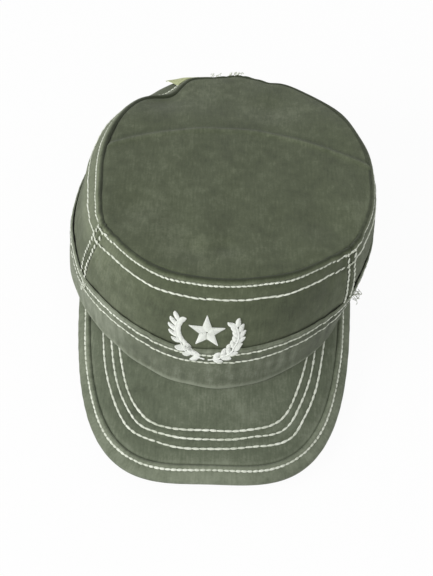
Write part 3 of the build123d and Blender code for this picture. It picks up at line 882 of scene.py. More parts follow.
@dataclass
class Workshop:
    """What every sub-assembly needs: the form, the finishes and the thread trees."""

    form: CapForm
    wardrobe: Wardrobe
    stitches: bpy.types.NodeTree
    strands: bpy.types.NodeTree

    def dress(self, obj: bpy.types.Object, finish: bpy.types.Material, slot: str,
              body: Body = Body.CAP, nodes: Sequence[str] = ()) -> bpy.types.Object:
        """Gives a piece its finish and body, and hides the imported nodes that it stands for."""
        obj.data.materials.clear()
        obj.data.materials.append(finish)
        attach(obj, body.value)
        if nodes:
            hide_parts(*nodes)
        LOG.info("%s rides on %s, %d faces", obj.name, body.value, len(obj.data.polygons))
        return obj

    def sew(self, name: str, rows: Iterable[Row], pitch: float, seed: int, body: Body = Body.CAP,
            nodes: Sequence[str] = (), size: tuple[float, float, float] = (1.3, 1.36, 0.95),
            sway: float = 0.09) -> bpy.types.Object:
        """Sews rows of single stitches.

        Args:
            name: piece name.
            rows: points and directions of each row.
            pitch: millimetres from stitch to stitch.
            seed: seed of the small differences between stitches.
            body: body that the thread rides on.
            nodes: nodes that it stands for.
            size: a stitch's length as a share of the pitch, its width and its height.
            sway: how far a stitch may turn, in radians.

        Returns:
            The piece.
        """
        obj = grow(name, rows, self.stitches, Pitch=pitch * MM, Length=pitch * size[0] * MM,
                   Width=size[1] * MM, Height=size[2] * MM, Sway=sway, Seed=seed,
                   Thread=self.wardrobe.thread)
        return self.dress(obj, self.wardrobe.thread, "cream_thread", body, nodes)

    def lay(self, name: str, rows: Iterable[Row], radius: float, finish: bpy.types.Material,
            slot: str, body: Body = Body.CAP, nodes: Sequence[str] = ()) -> bpy.types.Object:
        """Lays unbroken threads of one radius, in millimetres, along rows."""
        obj = grow(name, rows, self.strands, Radius=radius * MM, Thread=finish)
        return self.dress(obj, finish, slot, body, nodes)


@dataclass
class Crown:
    """Flat top, three wall panels and the tapes and interlining behind their seams."""

    shop: Workshop
    rows: tuple[float, float] = (3.3, 11.0)
    seam_rows: float = 2.6
    seam_lean: tuple[tuple[float, float], ...] = ((SEAM_RIGHT, 7.5), (SEAM_LEFT, -3.0))
    column: float = radians(1.0)
    hook_from: float = 0.955
    hook_reach: float = 2.4
    top_gap: float = 0.5
    dimple_depth: float = 1.7
    tucks: tuple[tuple[float, float], ...] = ((-0.9, 0.15), (-1.9, -0.5), (-2.2, -1.8))
    crumple: Crumple = Crumple(11, 14, (10, 60), 0.16, 0.22)
    top_waves: Crumple = Crumple(23, 12, (2, 9), 0.12, 0.6)

    def relief(self, theta: Array, h: Array) -> Array:
        """How far the wall's cloth stands out near its seams and rows, in millimetres."""
        form = self.shop.form
        d = (1 - h) * form.slope_length(theta)
        out = -WALL_INSET + 0.85 * bell(d, 1.5, 1.2) + 0.3 * smooth(-d, -13, -10)
        for row in self.rows:
            out = out - 0.32 * bell(d, row, 0.8)
        for seam in (SEAM_RIGHT, SEAM_LEFT, SEAM_BACK):
            off = np.abs(away(theta, seam)) * ARC
            out = out + 0.45 * smooth(-off, -6, -3.5) - 0.9 * bell(off, 0, 0.5)
            out = out - 0.3 * bell(off, self.seam_rows + 0.2, 0.7)
            near = bell(off, 0, 16) * smooth(h, 0.35, 0.9)
            out = out + 0.5 * near * np.sin(off * 0.55 + 9 * h) * smooth(off, 3, 7)
        return out + self.crumple.at(theta, 90 * h) * smooth(1 - h, 0.0, 0.2)

    def place(self, theta: Array, h: Array, lift: float = 0.0) -> Array:
        """Points on the wall's cloth, seams and rows included."""
        drift = 0.0 * theta
        for seam, lean in self.seam_lean:
            off = away(theta, seam)
            drift = drift + lean / ARC * bell(off, 0, radians(14)) * smooth(h, 0.5, 1.0)
        return self.shop.form.wall(theta + drift, h, self.relief(theta, h) + lift)

    def wear_and_painted_light_at(self, theta: Array, h: Array) -> Array:
        """Pale where ridges are rubbed, painted shade in the grooves at the top seam and the side
        seams, painted light on the key lamp's side of the upper wall, darker across the front.
        """
        form = self.shop.form
        d = (1 - h) * form.slope_length(theta)
        # pale rubbed ridge under the top seam, painted shade in the seam's groove, a faint darker
        # line below the ridge
        wear = 0.55 * bell(d, 1.6, 1.0) - 0.9 * bell(d, 0.0, 0.5) - 0.12 * bell(d, 5.0, 1.4)
        # painted light: the upper wall on the key lamp's side is lighter
        wear = wear + 0.75 * smooth(-d, -34, -12) * smooth(-np.cos(theta), 0.45, 0.98)
        wear = wear - 0.35 * bell(d, 22, 10) * smooth(-np.sin(theta), 0.6, 0.95)
        for seam in (SEAM_RIGHT, SEAM_LEFT, SEAM_BACK):
            off = np.abs(away(theta, seam)) * ARC
            # pale rubbed ridge beside each seam, painted shade in the seam's groove
            wear = wear + 0.35 * bell(off, 3.2, 1.0) - 0.7 * bell(off, 0, 0.5)
        return wear

    def low(self, theta: Array, x_edge: Array) -> Array:
        """h of the wall's lower edge: the rim, or the arched opening's edge."""
        form = self.shop.form
        arch = form.h_at(theta, form.arch_z(x_edge))
        behind = (np.sin(theta) > 0.3) & (np.abs(x_edge) < form.arch_half_width)
        return np.where(behind, arch, form.rim(theta) + 0.004)

    def columns(self, start: float, end: float) -> tuple[Array, Array]:
        """Angles of a panel's sections, close together at the opening's sides, and their x."""
        form = self.shop.form
        theta = np.linspace(start, end, int((end - start) / self.column) + 2)
        edge = form.arch_half_width
        marks = np.array([-edge - 0.2, -edge + 0.05, -edge + 0.4, -edge + 1.2,
                          edge - 1.2, edge - 0.4, edge - 0.05, edge + 0.2])
        extra, _ = form.find(Side.BACK, marks, 12.0)
        near = np.arange(0.4, 8.0, 0.45) / ARC
        extra = np.concatenate([extra, start + near, end - near])
        extra = extra[(extra > start + 0.01) & (extra < end - 0.01)]
        theta = np.unique(np.concatenate([theta, extra]))
        return theta, form.wall(theta, 0.25)[..., 0]

    def panel(self, name: str, start: float, end: float) -> None:
        """One wall panel from seam to seam, its top edge turned in under the flat top."""
        form, wardrobe = self.shop.form, self.shop.wardrobe
        theta, x = self.columns(start, end)
        low = self.low(theta, x)
        share = np.concatenate([np.linspace(0, 0.8, 34)[:-1], np.linspace(0.8, 1, 26)])
        h = low[:, None] + (1 - low[:, None]) * share
        t = np.repeat(theta[:, None], len(share), 1)
        outer = self.place(t, h)
        tucks = [self.place(theta, 1 + 0 * theta, out) + [0, 0, rise] for out, rise in self.tucks]
        outer = np.concatenate([outer, np.stack(tucks, 1)], 1)
        grid = thicken(outer, CLOTH)
        wear = self.wear_and_painted_light_at(t, h)
        # the edge turned in under the flat top is dark: painted shade in the groove
        wear = np.concatenate([wear, np.full((len(theta), len(tucks)), -1.0)], 1)
        wear = both_faces(wear)
        obj = loft(name + "_cloth", grid, wear=wear, u=form.along(theta))
        self.shop.dress(obj, wardrobe.crown, "crown_twill", nodes=[name])

    def crease(self, x: Array, y: Array) -> Array:
        """Distance behind the crease that bows across the flat top."""
        return y - (36.5 - 0.0046 * (x - 4) ** 2)

    def top_height(self, x: Array, y: Array, edge: Array) -> Array:
        """Height of the flat top's cloth with its crease, dimples and rolled-in edge.

        Args:
            x: place across.
            y: place along.
            edge: distance in from the seam.

        Returns:
            Height, in millimetres.
        """
        z = self.shop.form.flat_z(x, y)
        fold = self.crease(x, y)
        z = z + 0.8 * bell(fold, -0.6, 1.8)
        z = z - 0.7 * smooth(fold, -1.0, 3.0) * np.exp(-np.abs(fold) / 22)
        z = z - 1.5 * smooth(edge, 4, 40)
        for across, along, depth, wide in DIMPLES:
            off = (x - across) ** 2 + (y - along) ** 2
            z = z - self.dimple_depth * depth * np.exp(-off / wide**2)
        z = z + self.top_waves.at(x * 0.03, y) * smooth(edge, 0, 8)
        return z - 1.1 * np.exp(-edge / 0.4)

    def top(self) -> None:
        """The flat top."""
        form, wardrobe = self.shop.form, self.shop.wardrobe
        theta = np.linspace(-pi, pi, 361)[:-1]
        rim = form.flat_edge(theta)
        _, normal = form.head(theta)
        rim = rim - normal * self.top_gap
        centre = np.array([form.top_lean, form.top_shift])
        reach = np.linalg.norm(rim - centre, axis=1)
        inward = np.concatenate([np.linspace(0, 0.12, 22)[:-1], np.linspace(0.12, 1, 64)])
        xy = rim[:, None] + (centre - rim)[:, None] * inward[None, :, None]
        edge = inward[None] * reach[:, None]
        z = self.top_height(xy[..., 0], xy[..., 1], edge)
        upper = np.concatenate([xy, z[..., None]], -1)
        lower = upper - [0, 0, CLOTH]
        grid = np.concatenate([lower[:, ::-1], upper], 1)
        fold = self.crease(xy[..., 0], xy[..., 1])
        # pale rubbed crease ridge, painted shade behind the crease where the top falls away
        wear = 0.35 * bell(fold, -1.0, 1.6) - 0.25 * bell(fold, 3.0, 2.5)
        # painted shade along the edge, in the groove where the top meets the wall
        wear = wear - 0.9 * np.exp(-edge / 0.5) + 0.1 * bell(edge, 2.2, 1.6)
        wear = np.concatenate([wear[:, ::-1], wear], 1)
        obj = loft("crown_top_cloth", grid, ring=True, wrap=False, wear=wear)
        flat_map(obj)
        self.shop.dress(obj, wardrobe.crown, "crown_twill", nodes=["crown_top"])

    def linings(self) -> None:
        """Seam tapes, interlining and the emblem's backing, inside the wall."""
        form = self.shop.form
        slope = 76.0
        under_top, under_tape = 2.6 / slope, 13.5 / slope
        ring = np.linspace(-pi, pi, 241)[:-1]
        self.tape("crown_seam_tape", ring, np.full(240, 1 - under_tape),
                  np.full(240, 1 - under_top), LINING_INSET, True)
        gap = radians(3.9)
        for name, seam in (("front_seam_tape_right", SEAM_RIGHT),
                           ("front_seam_tape_left", SEAM_LEFT), ("back_seam_tape", SEAM_BACK)):
            theta = np.linspace(seam - gap, seam + gap, 12)
            low = form.rim(theta) + 0.03
            if seam == SEAM_BACK:
                low = form.h_at(theta, form.arch_z(0 * theta)) + 0.02
            self.tape(name, theta, low, 0 * theta + 1 - under_tape - 0.01, LINING_INSET)
        theta = np.linspace(SEAM_RIGHT + gap * 1.1, SEAM_LEFT - gap * 1.1, 120)
        self.tape("front_interlining", theta, form.rim(theta) + 0.03,
                  0 * theta + 1 - under_tape - 0.01, LINING_INSET)
        theta, _ = form.find(Side.FRONT, np.linspace(-27.5, 22.5, 40), 70.0)
        self.tape("emblem_backing", theta, form.h_at(theta, 60.0 + 0 * theta),
                  form.h_at(theta, 80.0 + 0 * theta), LINING_INSET + TAPE + 0.2)

    def tape(self, name: str, theta: Array, low: Array, high: Array, inset: float,
             ring: bool = False) -> None:
        """One flat strip inside the wall, from low to high."""
        share = np.linspace(0, 1, 14)
        h = low[:, None] + (high - low)[:, None] * share
        outer = self.shop.form.wall(theta[:, None], h, -inset - 0.1)
        obj = loft(name + "_strip", thicken(outer, TAPE * 0.8, ring), ring=ring)
        self.shop.dress(obj, self.shop.wardrobe.lining, "lining", nodes=[name])

    def row(self, theta: Array, h: Array, lift: float = 0.18) -> Row:
        """Points and directions of a row on the wall's cloth."""
        p = self.place(theta, h, lift)
        q = self.place(theta, h, lift + 1.0)
        return p, unit(q - p)

    def seam_row(self, seam: float, side: int) -> Row:
        """One row beside a seam; in front its top hooks away from the seam.

        Args:
            seam: angle of the seam.
            side: -1 or 1, the side of the seam that the row is on.

        Returns:
            Points and directions of the row.
        """
        form = self.shop.form
        start = 0.99
        share = np.linspace(start, 0, 90)
        t = seam + (side * self.seam_rows + 0.15 * np.sin(14 * share + side)) / ARC
        low = form.band_top(t)
        if seam == SEAM_BACK:
            low = form.h_at(t, form.arch_z(0 * t)) + 0.03
        h = low + (0.985 - low) * (share / start)
        inward = {SEAM_RIGHT: 1.0, SEAM_LEFT: -1.0}.get(seam, 0.0)
        turn = np.clip((h - self.hook_from) / 0.03, 0, 1) * pi * 0.6
        return self.row(t + inward * self.hook_reach * (1 - np.cos(turn)) / ARC,
                        np.minimum(h, 0.958) + 0.026 * np.sin(turn), 0.75)

    def stitching(self) -> None:
        """Two rows round the crown, and two down each seam."""
        form = self.shop.form
        ring = np.linspace(-pi, pi, 721)
        rows = []
        for depth in self.rows:
            wander = 0.18 * np.sin(9 * ring) + 0.14 * np.sin(23 * ring + depth)
            rows.append(self.row(ring, 1 - (depth + wander) / form.slope_length(ring)))
        self.shop.sew("crown_topstitch_near_edge", rows[:1], 2.75, 3, nodes=["crown_stitching"],
                      size=(1.2, 1.5, 1.0), sway=0.12)
        self.shop.sew("crown_topstitch_lower", rows[1:], 3.9, 4)
        for name, seams in (("front_seam", (SEAM_RIGHT, SEAM_LEFT)), ("back_seam", (SEAM_BACK,))):
            rows = [self.seam_row(seam, side) for seam in seams for side in (-1, 1)]
            self.shop.sew(name + "_topstitch", rows, 3.8, 7, nodes=[name + "_stitching"])

    def make(self) -> None:
        """The whole crown."""
        self.top()
        self.panel("front_panel", SEAM_RIGHT, SEAM_LEFT)
        self.panel("side_panel_left", SEAM_LEFT, SEAM_BACK)
        self.panel("side_panel_right", SEAM_BACK, SEAM_RIGHT + tau)
        self.linings()
        self.stitching()


def flat_map(obj: bpy.types.Object) -> None:
    """Lays the cloth map flat from above, so that the weave runs straight across a piece."""
    mesh = obj.data
    points = np.empty(len(mesh.vertices) * 3)
    mesh.vertices.foreach_get("co", points)
    corners = np.empty(len(mesh.loops), int)
    mesh.loops.foreach_get("vertex_index", corners)
    mesh.uv_layers[CLOTH_MAP].data.foreach_set("uv", points.reshape(-1, 3)[corners, :2].ravel())


@dataclass
class Bands:
    """Folded outer headband, inner sweatband and the rows that hold them."""

    shop: Workshop
    crown: Crown
    rows: tuple[float, float] = (3.0, 8.4)
    least: float = 0.6
    fold: tuple[tuple[float, float], ...] = (
        (0.006, -0.35), (0.008, -0.85), (-0.006, -1.3), (-0.010, -1.40), (-0.014, -1.45),
        (-0.018, -1.5))
    pucker: Crumple = Crumple(31, 16, (30, 120), 0.25, 0.2)
    slack: Crumple = Crumple(37, 10, (6, 26), 0.1, 0.28)

    def relief(self, theta: Array, v: Array) -> Array:
        """How far the headband's face stands out; v is millimetres below its folded edge."""
        lifted = 0.12 + 0.2 * np.sin(5 * theta + 1.0) * np.sin(11 * theta)
        out = lifted * bell(v, 0.6, 2.4) + 0.35 * bell(v, 5.6, 1.8)
        for row in self.rows:
            out = out - 0.42 * bell(v, row, 0.8)
        out = out + self.pucker.at(theta, v) * bell(v, 5.5, 6.5)
        return out + self.slack.at(theta, v) * smooth(v, 6, 14) + 0.35 * bell(v, 27.5, 2.5)

    def place(self, theta: Array, v: Array, lift: float = 0.0) -> Array:
        """Points on the headband's face."""
        form = self.shop.form
        h = form.band_top(theta) - v / form.slope_length(theta)
        return form.wall(theta, h, self.relief(theta, v) + lift)

    def headband(self) -> None:
        """The headband, open at the arch, with a round fold along its top."""
        form = self.shop.form
        start, end = form.find(Side.BACK, np.array([-0.001, 0.001]), 12.0)[0]
        theta, x = self.crown.columns(start - tau, end)
        low_z = form.arch_z(x)
        height = (form.band_top(theta) - form.rim(theta)) * form.slope_length(theta)
        hidden = (np.sin(theta) > 0.3) & (low_z > 0)
        over_arch = (form.band_top(theta) - form.h_at(theta, low_z)) * form.slope_length(theta)
        height = np.where(hidden, over_arch, height)
        share = np.concatenate([np.linspace(1, 0.45, 20)[:-1], np.linspace(0.45, 0.02, 34)])
        keep = height > self.least
        t, tall = theta[keep], height[keep]
        v = tall[:, None] * share
        angle = t[:, None] + 0 * v
        outer = self.place(angle, v)
        top = form.band_top(t)
        lift = self.relief(t, 0 * t + 0.3)
        folded = np.stack([form.wall(t, top + rise, lift + out) for rise, out in self.fold], 1)
        under = v[:, ::-1]
        inner = form.wall(angle[:, ::-1], top[:, None] - under / form.slope_length(t)[:, None],
                          np.minimum(lift[:, None] * bell(under, 0, 3) - BAND_PLY, -0.9))
        grid = np.concatenate([outer, folded, inner], 1)
        wear = 0.45 * bell(v, 0.4, 0.9) + 1.2 * bell(tall[:, None] - v, 0.3, 2.2)
        # paler on pucker crests where rubbed, painted shade in their troughs
        wear = wear + 0.3 * self.pucker.at(angle, v) / 0.2
        # darker between the rows; painted light on the key lamp's side
        wear = wear - 0.30 * bell(v, 5.4, 2.6) + 0.5 * smooth(-np.cos(angle), 0.35, 0.9)
        # painted shade on the side away from the key lamp
        wear = wear - 0.30 * smooth(np.cos(angle), 0.3, 0.8)
        flat = np.full((len(t), len(self.fold)), 0.2)
        wear = np.concatenate([wear, flat, wear[:, ::-1]], 1)
        obj = loft("headband_cloth", grid, wear=wear, u=form.along(t))
        self.shop.dress(obj, self.shop.wardrobe.band, "band_twill", nodes=["headband"])

    def sweatband(self) -> None:
        """The lined band inside, open at the arch."""
        form = self.shop.form
        ends = form.find(Side.BACK, np.array([-33.2, 33.2]), 12.0)[0]
        theta = np.linspace(ends.max() - tau, ends.min(), 300)
        low = form.rim(theta) - 0.004
        share = np.linspace(0, 1, 16)
        h = low[:, None] + share * (30.0 / form.slope_length(theta))[:, None]
        out = -SWEAT_INSET - 0.25 * np.sin(pi * share) + 0 * h
        outer = form.wall(theta[:, None], h, out)
        obj = loft("sweatband_cloth", thicken(outer, SWEAT_PLY), u=form.along(theta))
        self.shop.dress(obj, self.shop.wardrobe.lining, "lining", nodes=["sweatband"])

    def stitching(self) -> None:
        """Two rows along the folded edge, stopping at the opening."""
        form = self.shop.form
        ends = form.find(Side.BACK, np.array([-31.0, 31.0]), 24.0)[0]
        theta = np.linspace(ends.max() - tau, ends.min(), 900)
        rows = []
        for depth in self.rows:
            v = depth + 0.2 * np.sin(13 * theta + depth) + 0.12 * np.sin(41 * theta)
            p, q = self.place(theta, v, 0.12), self.place(theta, v, 1.12)
            rows.append((p, unit(q - p)))
        size = (1.16, 1.35, 0.9)
        self.shop.sew("headband_topstitch_upper", rows[:1], 2.9, 15, nodes=["headband_stitching"],
                      size=size, sway=0.16)
        self.shop.sew("headband_topstitch_lower", rows[1:], 3.3, 16, size=size, sway=0.12)

    def make(self) -> None:
        """Both bands and their thread."""
        self.headband()
        self.sweatband()
        self.stitching()


@dataclass
class Visor:
    """Two cloth covers over a stiff board, bound round the edge and sewn in rows."""

    shop: Workshop
    bands: Bands
    binding_width: float = 8.6
    edge_row: float = 6.1
    rows: tuple[float, ...] = (17.3, 22.25, 26.7)
    thick: float = 3.7
    shift: float = 0.83
    columns: int = 300
    waves: Crumple = Crumple(41, 14, (2, 16), 0.14, 0.16)

    def outline(self, count: int) -> tuple[Array, Array]:
        """Edge of the visor from the wearer's right to left, and inward directions.

        Both are laid out flat: across is measured along the visor's arch.
        """
        form = self.shop.form
        a = np.linspace(pi, 0, 4001)
        power = 2 / form.visor_power
        x = form.visor_half_width * np.sign(np.cos(a)) * np.abs(np.cos(a)) ** power
        y = -form.visor_length * np.abs(np.sin(a)) ** power
        line = np.stack([form.visor_arch * np.arcsin(x / form.visor_arch), y], -1)
        line = line[y <= form.rim_side_y]
        run = np.concatenate([[0], np.cumsum(np.linalg.norm(np.diff(line, axis=0), axis=1))])
        at = np.linspace(0, run[-1], count)
        line = np.stack([np.interp(at, run, line[:, k]) for k in (0, 1)], -1)
        along = unit(np.gradient(line, axis=0))
        return line, np.stack([-along[:, 1], along[:, 0]], -1)

    def inset(self, xy: Array) -> Array:
        """Distance in from the visor's edge."""
        line, _ = self.outline(900)
        flat = xy.reshape(-1, 2)
        best = np.concatenate([np.sqrt(((block[:, None] - line[None]) ** 2).sum(-1)).min(1)
                               for block in np.array_split(flat, 40)])
        return best.reshape(xy.shape[:-1])

    def lifted(self, xy: Array, lift: Array) -> Array:
        """Points above the visor's plain upper face, square to it, from its flat layout."""
        form = self.shop.form
        x, y = form.visor_arch * np.sin(xy[..., 0] / form.visor_arch), xy[..., 1]
        slope = x / np.sqrt(np.maximum(form.visor_arch**2 - x * x, 1))
        normal = unit(np.stack([slope, -form.visor_fall + 0 * x, 1 + 0 * x], -1))
        p = np.stack([x + self.shift, y, form.visor_top(x, y)], -1)
        return p + normal * np.asarray(lift)[..., None]

    def relief(self, xy: Array, d: Array) -> Array:
        """How far the cover's cloth stands over the plain face near its rows."""
        out = self.waves.at(xy[..., 0] * 0.02, xy[..., 1]) * smooth(d, 8, 14)
        for row in self.rows:
            out = out - 0.3 * bell(d, row, 0.75)
        out = out + 0.28 * bell(d, 19.8, 1.7) + 0.28 * bell(d, 24.5, 1.6)
        return out + 0.35 * bell(d, 12.5, 3.4) + 0.3 * bell(d, 30.5, 3.0)

    def cover(self, name: str, node: str, lift: float, depth: float, relief: bool) -> None:
        """One sheet from under the binding to under the headband."""
        form, wardrobe = self.shop.form, self.shop.wardrobe
        line, inward = self.outline(self.columns)
        start = line + inward * 0.9
        ends = [np.arctan2(form.rim_side_y / form.aspect, side * 78.0) for side in (-1, 1)]
        theta = np.linspace(ends[0], ends[1], self.columns)
        head, normal = form.head(theta)
        finish = head - normal * 4.0 - [self.shift, 0]
        finish[:, 0] = form.visor_arch * np.arcsin(finish[:, 0] / form.visor_arch)
        share = np.concatenate([np.linspace(0, 0.75, 66)[:-1], np.linspace(0.75, 1, 12)])
        xy = start[:, None] + (finish - start)[:, None] * share[None, :, None]
        d = self.inset(xy)
        shape = self.relief(xy, d) if relief else 0 * d
        upper = self.lifted(xy, lift + shape)
        lower = self.lifted(xy, lift + shape - depth)
        grid = np.concatenate([upper, lower[:, ::-1]], 1)
        # painted shade in the groove along the binding's inner edge, paler just inside it and on
        # the puffs between rows
        wear = 0.5 * bell(d, 9.9, 1.1) - 0.75 * bell(d, 8.7, 0.5) + 0.16 * bell(d, 13, 3)
        wear = wear + 0.2 * bell(d, 19.8, 1.2) + 0.2 * bell(d, 24.5, 1.2)
        # lighter towards the headband, a little darker all over
        wear = wear + 0.34 * smooth(d, 24, 38) - 0.24
        wear = both_faces(wear)
        obj = loft(name, grid, wear=wear)
        flat_map(obj)
        if node == "visor_board":
            self.shop.dress(obj, wardrobe.board, "board", nodes=[node])
        else:
            self.shop.dress(obj, wardrobe.visor, "visor_twill", nodes=[node])

    def binding(self) -> None:
        """Cloth folded over the edge, with a raised inner edge above and below."""
        line, inward = self.outline(self.columns)
        w, radius = self.binding_width, (self.thick + 1.1) / 2
        middle = 0.55 - radius
        d_top = np.linspace(w, radius, 22)
        ridge = 0.5 * bell(d_top, w - 1.3, 0.9) - 0.3 * bell(d_top, self.edge_row, 0.7)
        ridge = ridge - 0.5 * bell(d_top, w, 0.35)
        turn = np.linspace(pi / 2, -pi / 2, 13)[1:-1]
        d = np.concatenate([d_top, radius - radius * np.cos(turn), d_top[::-1]])
        lift = np.concatenate([0.55 + ridge, middle + radius * np.sin(turn),
                               0 * d_top + middle - radius])
        wobble = Crumple(43, 12, (8, 60), 0.3, 0.12)
        along = np.linspace(-2.5, 2.5, self.columns)[:, None]
        ripple = wobble.at(along, d[None])
        xy = line[:, None] + inward[:, None] * d[None, :, None]
        outer = self.lifted(xy, lift[None] + ripple)
        grid = thicken(outer, 0.5)
        # pale rubbed binding with a paler ridge; painted shade in the groove along its inner edge
        wear = 0.30 * bell(d, 3.4, 2.6) + 0.45 * bell(d, w - 1.3, 0.8) - 0.7 * bell(d, w, 0.3)
        wear = np.tile(wear + 0.22, (self.columns, 1))
        wear = both_faces(wear)
        obj = loft("visor_edge_binding_cloth", grid, wear=wear)
        self.shop.dress(obj, self.shop.wardrobe.visor, "visor_twill", nodes=["visor_edge_binding"])

    def drift(self, xy: Array) -> Array:
        """How far inwards the rows on the cover wander at their front corners."""
        x, ahead = xy[:, 0], smooth(-xy[:, 1], 118, 130)
        front = (1.5 * bell(x, -31, 12) + 1.3 * bell(x, 24, 10)) * ahead
        return front - 1.6 * bell(x, 44, 7) * bell(xy[:, 1], -128, 14)

    def row(self, depth: float, lift: float, phase: float) -> Row:
        """A row of stitches at one distance in from the edge, up to the headband."""
        form = self.shop.form
        line, inward = self.outline(1400)
        xy = line + inward * (depth + 0.18 * np.sin(np.linspace(0, 40, 1400) + phase))[:, None]
        sunk = 0 * xy[:, 0]
        if depth > self.binding_width:
            xy = xy + inward * self.drift(xy)[:, None]
            sunk = self.relief(xy, sunk + depth)
        p, q = self.lifted(xy, sunk + lift), self.lifted(xy, sunk + lift + 1)
        theta = np.arctan2(p[:, 1] / form.aspect, p[:, 0])
        foot = self.bands.place(theta, 0 * theta + 29.0)
        clear = np.hypot(p[:, 0], p[:, 1]) > np.hypot(foot[:, 0], foot[:, 1]) - 0.5
        return p[clear], unit(q - p)[clear]

    def make(self) -> None:
        """The whole visor."""
        self.cover("visor_top_cover_cloth", "visor_top_cover", 0.0, CLOTH, True)
        self.cover("visor_board_core", "visor_board", -0.95, 1.7, False)
        self.cover("visor_under_cover_cloth", "visor_under_cover", -2.9, CLOTH, False)
        self.binding()
        self.shop.sew("visor_edge_topstitch", [self.row(self.edge_row, 0.95, 0.0)], 3.0, 21,
                      nodes=["visor_edge_stitching"], size=(1.18, 1.5, 1.0), sway=0.1)
        rows = [self.row(depth, 0.18, depth) for depth in self.rows]
        self.shop.sew("visor_topstitch", rows, 3.9, 22, nodes=["visor_stitching"], sway=0.06)


